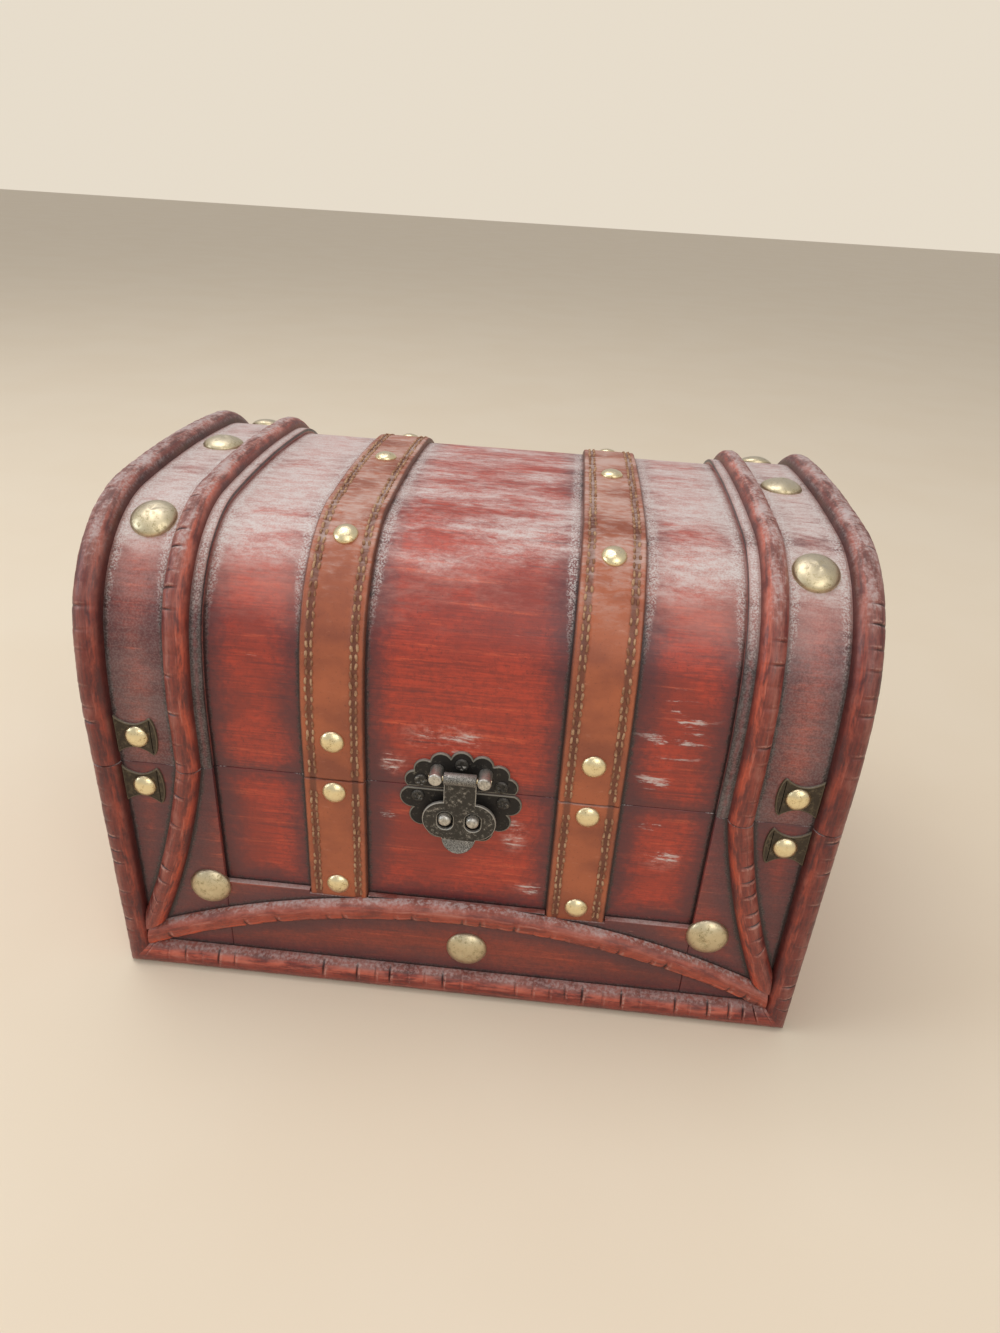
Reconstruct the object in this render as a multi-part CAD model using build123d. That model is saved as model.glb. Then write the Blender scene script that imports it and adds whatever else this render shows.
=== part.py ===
from build123d import *
import os
from math import asin, cos, degrees, radians, sin, sqrt

# A small dome-topped treasure chest in stained wood, with leather straps, metal nails and a
# swing hasp. It stands on Z = 0 with its front towards -Y and its length along X.
# Lengths are in millimetres and angles in degrees.

# Box
chest_length = 240.0
panel_depth = 161.0
base_height = 89.0
wall_thickness = 8.0
bottom_thickness = 5.0

# Domed lid: a straight rise, a slow side arc, a tight shoulder and a flat crown
lid_straight = 16.0
lid_side_radius = 136.0
lid_side_angle = 12.0
lid_shoulder_radius = 42.0
lid_crown_start = 85.5
sheet_thickness = 3.0
rail_depth = 8.0
rail_height = 12.0

# Raised bands at both ends of the chest
band_thickness = 2.0
band_width = 39.0
bottom_band_height = 41.0

# Half-round mouldings
edge_moulding_width = 9.0
edge_moulding_proud = 4.5
inner_moulding_width = 8.0
inner_moulding_proud = 4.0
inner_moulding_inset = 31.5
bottom_rail_width = 10.0
back_trim_gap = 6.5

# Arch and brackets on the front of the base
arch_radius = 260.0
arch_crown_height = 37.8
arch_width = 8.0
arch_proud = 4.0
bracket_width = 8.0
bracket_proud = 4.0
bracket_radius = 312.0
bracket_slope = 10.0
bracket_foot_gap = 0.4

# Leather straps
strap_width = 20.0
strap_thickness = 2.0
strap_band_gap = 30.0
strap_tuck = 1.5
strap_side_gap = 0.3

# Domed nails
small_nail_radius = 3.9
small_nail_dome = 2.1
big_nail_radius = 7.2
big_nail_dome = 3.4
nail_shank_radius = 0.8
nail_shank_length = 4.5
nail_hole_clearance = 0.05

# Nail places
strap_nail_rise = 15.0
strap_nail_top_drop = 4.5
strap_nail_foot_rise = 6.0
shoulder_nail_angle = 62.0
crown_nail_depth = 5.0
lid_big_nail_inset = 19.0
base_big_nail_inset = 33.5
base_big_nail_height = 38.7
centre_nail_x = 4.4
centre_nail_height = 21.2

# Corner plates
corner_plate_thickness = 0.8
corner_plate_width = 13.5
corner_plate_height = 14.0
corner_plate_shoulder = 2.0
corner_plate_scallop_depth = 2.6
corner_plate_rise = 3.6
corner_plate_drop = 1.6
corner_nail_inset = 7.0

# Latch plates
latch_plate_thickness = 1.0
latch_seam_gap = 0.3
upper_plate_half_width = 18.3
upper_plate_height = 14.5
upper_lobe_radius = 3.6
lower_plate_half_width = 19.8
lower_plate_height = 21.3
lower_lobe_radius = 4.1
lobe_count = 7

# Hasp, its pin and the two lugs that carry it
hasp_axis_rise = 7.4
hasp_axis_stand_off = 4.0
hasp_pin_radius = 0.8
hasp_pin_clearance = 0.05
hasp_barrel_radius = 2.0
hasp_neck_width = 10.4
hasp_thickness = 1.2
hasp_lobe_radius = 7.2
hasp_lobe_centre = 4.8
hasp_lobe_drop = 17.4
hasp_lip_radius = 5.6
hasp_lip_drop = 24.0
hasp_lip_bend_drop = 25.2
hasp_lip_angle = 28.0
hasp_fillet = 1.6
hasp_hole_width = 5.2
hasp_hole_height = 7.2
hasp_side_play = 0.3
lug_radius = 2.2
lug_length = 6.0
stud_radius = 2.1
stud_length = 5.4
stud_spacing = 9.0
stud_rise_in_hole = 1.1
stud_tenon_radius = 1.1
stud_tenon_depth = 3.0
stud_edge_round = 0.7

# Screws
screw_head_radius = 2.1
screw_head_height = 0.9
screw_shank_radius = 0.8
screw_shank_length = 7.0
screw_hole_clearance = 0.05
screw_cross_width = 0.55
screw_cross_length = 2.4
screw_cross_depth = 0.5
upper_screw_x = 12.9
upper_screw_rise = 2.9
upper_screw_top_rise = 10.2
lower_screw_x = 13.8
lower_screw_drop = 3.2

# Butt hinges on the back
hinge_width = 22.0
hinge_leaf_height = 14.0
hinge_leaf_thickness = 1.0
hinge_knuckle_radius = 2.3
hinge_axis_stand_off = 2.5
hinge_pin_radius = 1.0
hinge_pin_clearance = 0.05
hinge_pin_overhang = 0.5
hinge_knuckle_gap = 0.2
hinge_leaf_clearance = 0.3
hinge_leaf_gap = 0.2
hinge_screw_spacing = 12.0
hinge_screw_reach = 8.5

# Worked out from the sizes above
half_length = chest_length / 2
half_depth = panel_depth / 2
seam = base_height
band_inner_x = half_length - band_width
strap_centre = band_inner_x - strap_band_gap - strap_width / 2
hinge_x = band_inner_x - strap_band_gap / 2
edge_moulding_x = half_length - edge_moulding_width / 2
moulding_inner_x = half_length - edge_moulding_width
inner_moulding_x = half_length - inner_moulding_inset
band_face = half_depth + band_thickness
side_angle = radians(lid_side_angle)
crown_angle = radians(lid_crown_start)
side_centre_y = half_depth - lid_side_radius
side_centre_z = seam + lid_straight
shoulder_y = side_centre_y + (lid_side_radius - lid_shoulder_radius) * cos(side_angle)
shoulder_z = side_centre_z + (lid_side_radius - lid_shoulder_radius) * sin(side_angle)
crown_radius = lid_shoulder_radius + shoulder_y / cos(crown_angle)
crown_z = shoulder_z - (crown_radius - lid_shoulder_radius) * sin(crown_angle)
hasp_axis_y = half_depth + latch_plate_thickness + hasp_axis_stand_off
hasp_axis_z = seam + hasp_axis_rise
hasp_back_y = hasp_axis_y - hasp_barrel_radius
stud_z = hasp_axis_z - hasp_lobe_drop + stud_rise_in_hole
hinge_axis_y = half_depth + hinge_axis_stand_off


def slab(x0, x1, y0, y1, z0, z1):
    """Box between two opposite corners."""
    centre = Pos((x0 + x1) / 2, (y0 + y1) / 2, (z0 + z1) / 2)
    return centre * Box(abs(x1 - x0), abs(y1 - y0), abs(z1 - z0))


def rod(start, end, radius):
    """Round rod from one point to another along X or Y."""
    run = Vector(*end) - Vector(*start)
    return Plane(origin=start, z_dir=run) * Cylinder(
        radius, run.length, align=(Align.CENTER, Align.CENTER, Align.MIN)
    )


def facing(side, x, y, z):
    """Frame on the front (-1) or back (1) face, with its own Z pointing out of the chest."""
    return Plane(origin=(x, side * y, z), x_dir=(-side, 0, 0), z_dir=(0, side, 0)).location


def dome_point(offset, angle):
    """Depth and height on the lid's front half where its surface normal has risen by angle."""
    turn = radians(angle)
    if turn <= side_angle:
        centre_y, centre_z, radius = side_centre_y, side_centre_z, lid_side_radius
    elif turn <= crown_angle:
        centre_y, centre_z, radius = shoulder_y, shoulder_z, lid_shoulder_radius
    else:
        centre_y, centre_z, radius = 0.0, crown_z, crown_radius
    return centre_y + (radius + offset) * cos(turn), centre_z + (radius + offset) * sin(turn)


def dome_frame(x, offset, side, angle):
    """Frame on the dome, with its own Z along the surface normal."""
    depth, height = dome_point(offset, angle)
    normal = (0, side * cos(radians(angle)), sin(radians(angle)))
    return Plane(origin=(x, side * depth, height), x_dir=(1, 0, 0), z_dir=normal).location


def dome_edges(offset, start_z=None):
    """Edges in the YZ plane over the dome, from the front seam to start_z on the back."""
    depth = half_depth + offset
    back_start = seam if start_z is None else start_z
    side = lid_side_radius + offset
    shoulder = lid_shoulder_radius + offset
    crown = crown_radius + offset
    shoulder_sweep = lid_crown_start - lid_side_angle
    crown_sweep = 2 * (90 - lid_crown_start)
    return [
        Line((-depth, seam), (-depth, side_centre_z)),
        CenterArc((-side_centre_y, side_centre_z), side, 180, -lid_side_angle),
        CenterArc((-shoulder_y, shoulder_z), shoulder, 180 - lid_side_angle, -shoulder_sweep),
        CenterArc((0, crown_z), crown, 180 - lid_crown_start, -crown_sweep),
        CenterArc((shoulder_y, shoulder_z), shoulder, lid_crown_start, -shoulder_sweep),
        CenterArc((side_centre_y, side_centre_z), side, lid_side_angle, -lid_side_angle),
        Line((depth, side_centre_z), (depth, back_start)),
    ]


def dome_solid(x0, x1, offset):
    """Everything under the dome at this offset, down to the seam."""
    depth = half_depth + offset
    outline = Curve() + dome_edges(offset) + Line((depth, seam), (-depth, seam))
    return extrude(Plane.YZ.offset(x0) * make_face(outline), x1 - x0, dir=(1, 0, 0))


def dome_shell(x0, x1, inner, outer):
    """Bent sheet over the dome between two offsets from the lid's outer face."""
    return dome_solid(x0, x1, outer) - dome_solid(x0, x1, inner)


def half_round(width, height):
    """Half-round section standing on its local X axis."""
    arc = ThreePointArc((-width / 2, 0), (0, height), (width / 2, 0))
    return make_face(Curve() + [arc, Line((width / 2, 0), (-width / 2, 0))])


def dome_moulding(x, width, height):
    """Half-round moulding over the dome, seated on a band."""
    seat = band_face
    path = Plane.YZ.offset(x) * Wire(dome_edges(band_thickness, seam + back_trim_gap))
    section = Plane(origin=(x, -seat, seam), x_dir=(1, 0, 0), z_dir=(0, 0, -1)) * half_round(width, height)
    return sweep(section, path)


def drilled(body, frames, radius, depth):
    """Body with a blind hole at each frame, going in along the frame's own -Z."""
    for frame in frames:
        body -= frame * Pos(0, 0, -depth / 2) * Cylinder(radius, depth)
    return body


def nail(head_radius, head_dome):
    """Domed nail with its seat at the origin and its shank along -Z."""
    ball = (head_radius ** 2 + head_dome ** 2) / (2 * head_dome)
    head = Pos(0, 0, head_dome - ball) * Sphere(ball) & slab(-ball, ball, -ball, ball, 0, ball)
    return head + Pos(0, 0, -nail_shank_length / 2) * Cylinder(nail_shank_radius, nail_shank_length)


def screw():
    """Cross-head screw with its seat at the origin and its shank along -Z."""
    head = Pos(0, 0, screw_head_height / 2) * Cylinder(screw_head_radius, screw_head_height)
    for length, width in ((screw_cross_length, screw_cross_width), (screw_cross_width, screw_cross_length)):
        head -= Pos(0, 0, screw_head_height) * Box(length, width, 2 * screw_cross_depth)
    return head + Pos(0, 0, -screw_shank_length / 2) * Cylinder(screw_shank_radius, screw_shank_length)


def placed(thing, frames):
    """One separate copy of a fastener at each frame."""
    return Compound([solid for frame in frames for solid in (frame * thing).solids()])


def nail_holes(body, frames):
    """Body drilled for nail shanks."""
    radius = nail_shank_radius + nail_hole_clearance
    return drilled(body, frames, radius, nail_shank_length + nail_hole_clearance)


def screw_holes(body, frames):
    """Body drilled for screw shanks."""
    radius = screw_shank_radius + screw_hole_clearance
    return drilled(body, frames, radius, screw_shank_length + screw_hole_clearance)


# Fastener frames. Each lies on the face that its head rests on, with its own Z pointing out.
strap_face = half_depth + strap_thickness
corner_face = band_face + corner_plate_thickness
plate_face = half_depth + latch_plate_thickness
hinge_leaf_face = half_depth + hinge_leaf_thickness
corner_nail_x = moulding_inner_x - corner_nail_inset
lid_corner_nail_z = seam + corner_plate_rise + corner_plate_height / 2
base_corner_nail_z = seam - corner_plate_drop - corner_plate_height / 2
crown_nail_angle = 90 + degrees(asin(crown_nail_depth / crown_radius))
strap_foot_z = bottom_band_height - strap_tuck
hinge_screw_half = hinge_screw_spacing / 2
hinge_screw_x = [x + step for x in (-hinge_x, hinge_x) for step in (-hinge_screw_half, hinge_screw_half)]


def both(x, make):
    """What make gives at -x and at x."""
    return [make(-x), make(x)]


base_front_strap_frames = (
    both(strap_centre, lambda x: facing(-1, x, strap_face, seam - strap_nail_top_drop))
    + both(strap_centre, lambda x: facing(-1, x, strap_face, strap_foot_z + strap_nail_foot_rise))
)
base_back_strap_frames = (
    both(strap_centre, lambda x: facing(1, x, strap_face, seam - back_trim_gap - strap_nail_top_drop))
    + both(strap_centre, lambda x: facing(1, x, strap_face, strap_foot_z + strap_nail_foot_rise))
)
base_corner_frames = both(corner_nail_x, lambda x: facing(-1, x, corner_face, base_corner_nail_z))
lid_strap_frames = (
    both(strap_centre, lambda x: facing(-1, x, strap_face, seam + strap_nail_rise))
    + both(strap_centre, lambda x: facing(1, x, strap_face, seam + strap_nail_rise))
    + both(strap_centre, lambda x: dome_frame(x, strap_thickness, -1, shoulder_nail_angle))
    + both(strap_centre, lambda x: dome_frame(x, strap_thickness, 1, shoulder_nail_angle))
    + both(strap_centre, lambda x: dome_frame(x, strap_thickness, -1, crown_nail_angle))
)
lid_corner_frames = both(corner_nail_x, lambda x: facing(-1, x, corner_face, lid_corner_nail_z))
lid_big_nail_x = half_length - lid_big_nail_inset
lid_big_frames = (
    both(lid_big_nail_x, lambda x: dome_frame(x, band_thickness, -1, shoulder_nail_angle))
    + both(lid_big_nail_x, lambda x: dome_frame(x, band_thickness, 1, shoulder_nail_angle))
    + both(lid_big_nail_x, lambda x: dome_frame(x, band_thickness, -1, crown_nail_angle))
)
base_big_frames = both(
    half_length - base_big_nail_inset, lambda x: facing(-1, x, band_face, base_big_nail_height)
) + [facing(-1, centre_nail_x, band_face, centre_nail_height)]
upper_screw_frames = both(
    upper_screw_x, lambda x: facing(-1, x, plate_face, seam + upper_screw_rise)
) + [facing(-1, 0, plate_face, seam + upper_screw_top_rise)]
lower_screw_frames = both(lower_screw_x, lambda x: facing(-1, x, plate_face, seam - lower_screw_drop))
base_hinge_screw_frames = [facing(1, x, hinge_leaf_face, seam - hinge_screw_reach) for x in hinge_screw_x]
lid_hinge_screw_frames = [facing(1, x, hinge_leaf_face, seam + hinge_screw_reach) for x in hinge_screw_x]
stud_frames = both(stud_spacing / 2, lambda x: facing(-1, x, plate_face, stud_z))


def base_boards():
    """Bottom board and the four walls that stand on it."""
    inner_x = half_length - wall_thickness
    inner_y = half_depth - wall_thickness
    front = slab(-half_length, half_length, -half_depth, -inner_y, bottom_thickness, seam)
    back = slab(-half_length, half_length, inner_y, half_depth, bottom_thickness, seam)
    front = nail_holes(front, base_front_strap_frames + base_corner_frames + base_big_frames)
    front = screw_holes(front, lower_screw_frames)
    front = drilled(front, stud_frames, stud_tenon_radius + nail_hole_clearance, stud_tenon_depth)
    back = screw_holes(nail_holes(back, base_back_strap_frames), base_hinge_screw_frames)
    return {
        "base_bottom_board": slab(-half_length, half_length, -half_depth, half_depth, 0, bottom_thickness),
        "base_front_panel": front,
        "base_back_panel": back,
        "base_left_panel": slab(-half_length, -inner_x, -inner_y, inner_y, bottom_thickness, seam),
        "base_right_panel": slab(inner_x, half_length, -inner_y, inner_y, bottom_thickness, seam),
    }


def strap_notches(side):
    """Shallow notches in the top of a bottom band, where the strap ends are tucked in."""
    half = strap_width / 2 + strap_side_gap
    return [
        slab(x - half, x + half, side * half_depth, side * band_face, strap_foot_z, bottom_band_height)
        for x in (-strap_centre, strap_centre)
    ]


def base_bands():
    """Raised flat bands: two upright ones and a bottom one on the front, and the same on the back."""
    nodes = {}
    for face, side in (("front", -1), ("back", 1)):
        near, far = side * half_depth, side * band_face
        left = slab(-half_length, -band_inner_x, near, far, 0, seam)
        right = slab(band_inner_x, half_length, near, far, 0, seam)
        bottom = slab(-band_inner_x, band_inner_x, near, far, 0, bottom_band_height)
        for notch in strap_notches(side):
            bottom -= notch
        if side < 0:
            left = nail_holes(left, base_big_frames + base_corner_frames)
            right = nail_holes(right, base_big_frames + base_corner_frames)
            bottom = nail_holes(bottom, base_big_frames)
        nodes[f"base_{face}_band_left"] = left
        nodes[f"base_{face}_band_right"] = right
        nodes[f"base_{face}_band_bottom"] = bottom
    return nodes


def mitre(x_sign, below):
    """Wedge on one side of the mitre line through a bottom corner of the frame."""
    corner = Vector(x_sign * half_length, 0)
    inner = Vector(-x_sign * edge_moulding_width, bottom_rail_width) * 2
    rest = Vector(inner.X, 0) if below else Vector(0, inner.Y)
    outline = Polyline(corner, corner + inner, corner + rest, close=True)
    return extrude(Plane.XZ * make_face(outline), 2 * band_face, both=True)


def upright_moulding(x_sign, side):
    """Half-round on an end of the front or back, mitred at its foot to the bottom rail."""
    top = seam - (back_trim_gap if side > 0 else 0)
    foot = (x_sign * edge_moulding_x, side * band_face, 0)
    section = Plane(origin=foot, x_dir=(side, 0, 0), z_dir=(0, 0, 1))
    profile = half_round(edge_moulding_width, edge_moulding_proud)
    bar = extrude(section * profile, top, dir=(0, 0, 1))
    return bar - mitre(x_sign, below=True)


def bottom_rail(side):
    """Half-round along the foot of the front or back, mitred at both ends."""
    section = Plane(
        origin=(-half_length, side * band_face, bottom_rail_width / 2), x_dir=(0, 0, -side), z_dir=(1, 0, 0)
    )
    profile = half_round(bottom_rail_width, edge_moulding_proud)
    bar = extrude(section * profile, chest_length, dir=(1, 0, 0))
    return bar - mitre(-1, below=False) - mitre(1, below=False)


def base_mouldings():
    """Frame of half-rounds round the front and the back of the base."""
    nodes = {}
    for face, side in (("front", -1), ("back", 1)):
        nodes[f"base_{face}_moulding_left"] = upright_moulding(-1, side)
        nodes[f"base_{face}_moulding_right"] = upright_moulding(1, side)
        nodes[f"base_{face}_moulding_bottom"] = bottom_rail(side)
    return nodes


def ring_moulding(centre_x, centre_z, radius, width, height):
    """Full ring of half-round moulding lying on the front bands."""
    section = Plane(origin=(centre_x + radius, -band_face, centre_z), x_dir=(1, 0, 0), z_dir=(0, 0, 1))
    face = section * half_round(width, -height)
    return revolve(face, Axis((centre_x, 0, centre_z), (0, 1, 0)), 360)


def arch_moulding():
    """Low arch that springs from both bottom corners of the front frame."""
    ring = ring_moulding(0, arch_crown_height - arch_radius, arch_radius, arch_width, arch_proud)
    window = slab(
        -moulding_inner_x, moulding_inner_x,
        -band_face - arch_proud, -band_face,
        bottom_rail_width, arch_crown_height + arch_width,
    )
    return ring & window


def bracket_moulding(x_sign):
    """Curved moulding from under the lid's inner moulding out to the foot of the edge moulding."""
    slope = radians(bracket_slope)
    centre_x = inner_moulding_x + bracket_radius * cos(slope)
    centre_z = seam + bracket_radius * sin(slope)
    ring = ring_moulding(centre_x, centre_z, bracket_radius, bracket_width, bracket_proud)
    window = slab(
        inner_moulding_x - bracket_width, moulding_inner_x,
        -band_face - bracket_proud, -band_face,
        bottom_rail_width, seam,
    )
    bracket = ring & window
    arch_top = Pos(0, 0, arch_crown_height - arch_radius) * Rot(90, 0, 0) * Cylinder(
        arch_radius + arch_width / 2 + bracket_foot_gap, 4 * band_face
    )
    bracket -= arch_top
    return bracket if x_sign > 0 else mirror(bracket, Plane.YZ)


def base_straps():
    """Short straps on the front and back of the base, from the seam to the bottom band."""
    nodes = {}
    faces = (("front", -1, base_front_strap_frames), ("back", 1, base_back_strap_frames))
    for face, side, frames in faces:
        for name, x in (("left", -strap_centre), ("right", strap_centre)):
            strap = slab(
                x - strap_width / 2, x + strap_width / 2,
                side * half_depth, side * strap_face,
                strap_foot_z, seam,
            )
            nodes[f"base_{face}_strap_{name}"] = nail_holes(strap, frames)
    return nodes


def corner_plate(x_sign, centre_z, frames):
    """Thin plate beside an edge moulding, with scooped top and bottom and a rounded inner side."""
    half = corner_plate_height / 2
    shoulder = corner_plate_width - corner_plate_shoulder
    scoop = half - corner_plate_scallop_depth
    outline = Curve() + [
        ThreePointArc((0, half), (shoulder / 2, scoop), (shoulder, half)),
        ThreePointArc((shoulder, half), (corner_plate_width, 0), (shoulder, -half)),
        ThreePointArc((shoulder, -half), (shoulder / 2, -scoop), (0, -half)),
        Line((0, -half), (0, half)),
    ]
    frame = facing(-1, -moulding_inner_x, band_face, centre_z)
    plate = frame * extrude(make_face(outline), corner_plate_thickness)
    if x_sign > 0:
        plate = mirror(plate, Plane.YZ)
    return nail_holes(plate, frames)


def lid_boards():
    """Two D-shaped ends, the bent sheet over them and the rails along its front and back edges."""
    inner_x = half_length - wall_thickness
    under_sheet = half_depth - sheet_thickness
    nail_frames = lid_strap_frames + lid_corner_frames + lid_big_frames
    screw_frames = upper_screw_frames + lid_hinge_screw_frames
    sheet = dome_shell(-half_length, half_length, -sheet_thickness, 0)
    nodes = {
        "lid_left_end": dome_solid(-half_length, -inner_x, -sheet_thickness),
        "lid_right_end": dome_solid(inner_x, half_length, -sheet_thickness),
        "lid_sheet": screw_holes(nail_holes(sheet, nail_frames), screw_frames),
    }
    for face, side in (("front", -1), ("back", 1)):
        rail = slab(
            -inner_x, inner_x,
            side * under_sheet, side * (under_sheet - rail_depth),
            seam, seam + rail_height,
        )
        nodes[f"lid_{face}_rail"] = screw_holes(rail, screw_frames)
    return nodes


def lid_trim():
    """Bands, half-round mouldings and straps over the dome."""
    nodes = {}
    for name, x_sign in (("left", -1), ("right", 1)):
        ends = sorted((x_sign * half_length, x_sign * band_inner_x))
        band = dome_shell(*ends, 0, band_thickness)
        nodes[f"lid_band_{name}"] = nail_holes(band, lid_big_frames + lid_corner_frames)
        nodes[f"lid_edge_moulding_{name}"] = dome_moulding(
            x_sign * edge_moulding_x, edge_moulding_width, edge_moulding_proud
        )
        nodes[f"lid_inner_moulding_{name}"] = dome_moulding(
            x_sign * inner_moulding_x, inner_moulding_width, inner_moulding_proud
        )
        centre = x_sign * strap_centre
        strap = dome_shell(centre - strap_width / 2, centre + strap_width / 2, 0, strap_thickness)
        nodes[f"lid_strap_{name}"] = nail_holes(strap, lid_strap_frames)
    return nodes


def scalloped_outline(half_width, height, lobe_radius):
    """Half-round plate outline standing on its local X axis, edged with round lobes."""
    step = 180 / lobe_count
    across = (half_width - lobe_radius) / cos(radians(step / 2))
    up = height - lobe_radius
    outline = Ellipse(across, up)
    for lobe in range(lobe_count):
        turn = radians(step * (lobe + 0.5))
        outline += Pos(across * cos(turn), up * sin(turn)) * Circle(lobe_radius)
    return outline & Pos(0, height / 2) * Rectangle(2 * half_width, height)


def latch_plates():
    """Scalloped plate on the lid with its two lugs, and the scalloped plate on the base."""
    upper = scalloped_outline(upper_plate_half_width, upper_plate_height, upper_lobe_radius)
    upper = facing(-1, 0, half_depth, seam + latch_seam_gap) * extrude(upper, latch_plate_thickness)
    lug_x = hasp_neck_width / 2 + hasp_side_play + lug_radius
    lug_end = plate_face + lug_length
    for x in (-lug_x, lug_x):
        upper += rod((x, -half_depth, hasp_axis_z), (x, -lug_end, hasp_axis_z), lug_radius)
    pin_half = lug_x + lug_radius
    hole = hasp_pin_radius + hasp_pin_clearance
    pin_ends = ((-pin_half, -hasp_axis_y, hasp_axis_z), (pin_half, -hasp_axis_y, hasp_axis_z))
    upper -= rod(*pin_ends, hole)
    lower = scalloped_outline(lower_plate_half_width, lower_plate_height, lower_lobe_radius)
    lower = Rot(0, 0, 180) * extrude(lower, latch_plate_thickness)
    lower = facing(-1, 0, half_depth, seam - latch_seam_gap) * lower
    lower = drilled(lower, stud_frames, stud_tenon_radius + nail_hole_clearance, stud_tenon_depth)
    return {
        "latch_upper_plate": screw_holes(upper, upper_screw_frames),
        "latch_pin": rod(*pin_ends, hasp_pin_radius),
        "latch_lower_plate": screw_holes(lower, lower_screw_frames),
        "latch_studs": placed(stud(), stud_frames),
    }


def stud():
    """Round-nosed stud standing on the lower latch plate, with a tenon into the front panel."""
    body = Pos(0, 0, stud_length / 2) * Cylinder(stud_radius, stud_length)
    body = fillet(body.edges().sort_by(Axis.Z)[-1:], stud_edge_round)
    return body + Pos(0, 0, -stud_tenon_depth / 2) * Cylinder(stud_tenon_radius, stud_tenon_depth)


def hasp():
    """Swinging hasp: a barrel, a neck, two round lobes with a hole each and a bent finger lip."""
    neck = Pos(0, -hasp_lobe_drop / 2) * Rectangle(hasp_neck_width, hasp_lobe_drop)
    outline = neck
    for x in (-hasp_lobe_centre, hasp_lobe_centre):
        outline += Pos(x, -hasp_lobe_drop) * Circle(hasp_lobe_radius)
    waist = outline.vertices().group_by(Axis.Y)[-2]
    outline = fillet(waist, hasp_fillet)
    outline += Pos(0, -hasp_lip_drop) * Circle(hasp_lip_radius)
    for x in (-stud_spacing / 2, stud_spacing / 2):
        straight = hasp_hole_height - hasp_hole_width
        outline -= Pos(x, -hasp_lobe_drop) * SlotCenterToCenter(straight, hasp_hole_width, rotation=90)
    reach = 2 * (hasp_lobe_centre + hasp_lobe_radius)
    below = Pos(0, -hasp_lip_bend_drop - reach / 2) * Rectangle(reach, reach)
    flat = extrude(outline - below, hasp_thickness)
    bend = Pos(0, -hasp_lip_bend_drop, 0)
    lip = extrude(outline & below, hasp_thickness)
    lip = bend * Rot(-hasp_lip_angle, 0, 0) * bend.inverse() * lip
    sheet = facing(-1, 0, hasp_back_y, hasp_axis_z) * (flat + lip)
    half = hasp_neck_width / 2
    ends = ((-half, -hasp_axis_y, hasp_axis_z), (half, -hasp_axis_y, hasp_axis_z))
    return sheet + rod(*ends, hasp_barrel_radius) - rod(*ends, hasp_pin_radius + hasp_pin_clearance)


def hinge_leaf(centre_x, up):
    """Leaf of a butt hinge: the lid's leaf (up = 1) has the middle knuckle, the base's the outer two."""
    third = hinge_width / 3
    plate = slab(
        centre_x - hinge_width / 2, centre_x + hinge_width / 2,
        half_depth, hinge_leaf_face,
        seam + up * hinge_leaf_gap, seam + up * hinge_leaf_height,
    )
    own, other = ([0], [-1, 1]) if up > 0 else ([-1, 1], [0])

    def knuckle(index, radius, growth):
        """Cylinder on the hinge axis over one third of the width, longer by growth at each end."""
        x0 = centre_x + (index - 0.5) * third - growth
        x1 = centre_x + (index + 0.5) * third + growth
        return rod((x0, hinge_axis_y, seam), (x1, hinge_axis_y, seam), radius)

    for index in other:
        plate -= knuckle(index, hinge_knuckle_radius + hinge_leaf_clearance, hinge_knuckle_gap / 2)
    for index in own:
        plate += knuckle(index, hinge_knuckle_radius, -hinge_knuckle_gap / 2)
    half = hinge_width / 2
    plate -= rod(
        (centre_x - half, hinge_axis_y, seam),
        (centre_x + half, hinge_axis_y, seam),
        hinge_pin_radius + hinge_pin_clearance,
    )
    frames = lid_hinge_screw_frames if up > 0 else base_hinge_screw_frames
    return screw_holes(plate, frames)


def hinge_pins():
    """One pin through the knuckles of each hinge."""
    half = hinge_width / 2 + hinge_pin_overhang
    return Compound([
        rod((x - half, hinge_axis_y, seam), (x + half, hinge_axis_y, seam), hinge_pin_radius)
        for x in (-hinge_x, hinge_x)
    ])


def chest():
    """Every piece of the chest by name."""
    small = nail(small_nail_radius, small_nail_dome)
    big = nail(big_nail_radius, big_nail_dome)
    nodes = {}
    for group in (base_boards, base_bands, base_mouldings, base_straps, lid_boards, lid_trim, latch_plates):
        nodes.update(group())
    nodes["base_arch_moulding"] = arch_moulding()
    for name, x_sign in (("left", -1), ("right", 1)):
        nodes[f"base_bracket_{name}"] = bracket_moulding(x_sign)
        nodes[f"base_corner_plate_{name}"] = corner_plate(x_sign, base_corner_nail_z, base_corner_frames)
        nodes[f"lid_corner_plate_{name}"] = corner_plate(x_sign, lid_corner_nail_z, lid_corner_frames)
        nodes[f"hinge_base_leaf_{name}"] = hinge_leaf(x_sign * hinge_x, -1)
        nodes[f"hinge_lid_leaf_{name}"] = hinge_leaf(x_sign * hinge_x, 1)
    base_small_frames = base_front_strap_frames + base_back_strap_frames + base_corner_frames
    nodes["base_small_nails"] = placed(small, base_small_frames)
    nodes["base_big_nails"] = placed(big, base_big_frames)
    nodes["lid_small_nails"] = placed(small, lid_strap_frames + lid_corner_frames)
    nodes["lid_big_nails"] = placed(big, lid_big_frames)
    nodes["latch_upper_screws"] = placed(screw(), upper_screw_frames)
    nodes["latch_lower_screws"] = placed(screw(), lower_screw_frames)
    nodes["hinge_base_screws"] = placed(screw(), base_hinge_screw_frames)
    nodes["hinge_lid_screws"] = placed(screw(), lid_hinge_screw_frames)
    nodes["hinge_pins"] = hinge_pins()
    nodes["hasp"] = hasp()
    return nodes


os.makedirs("parts", exist_ok=True)
for node_name, shape in chest().items():
    export_step(shape, f"parts/{node_name}.step")
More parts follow.
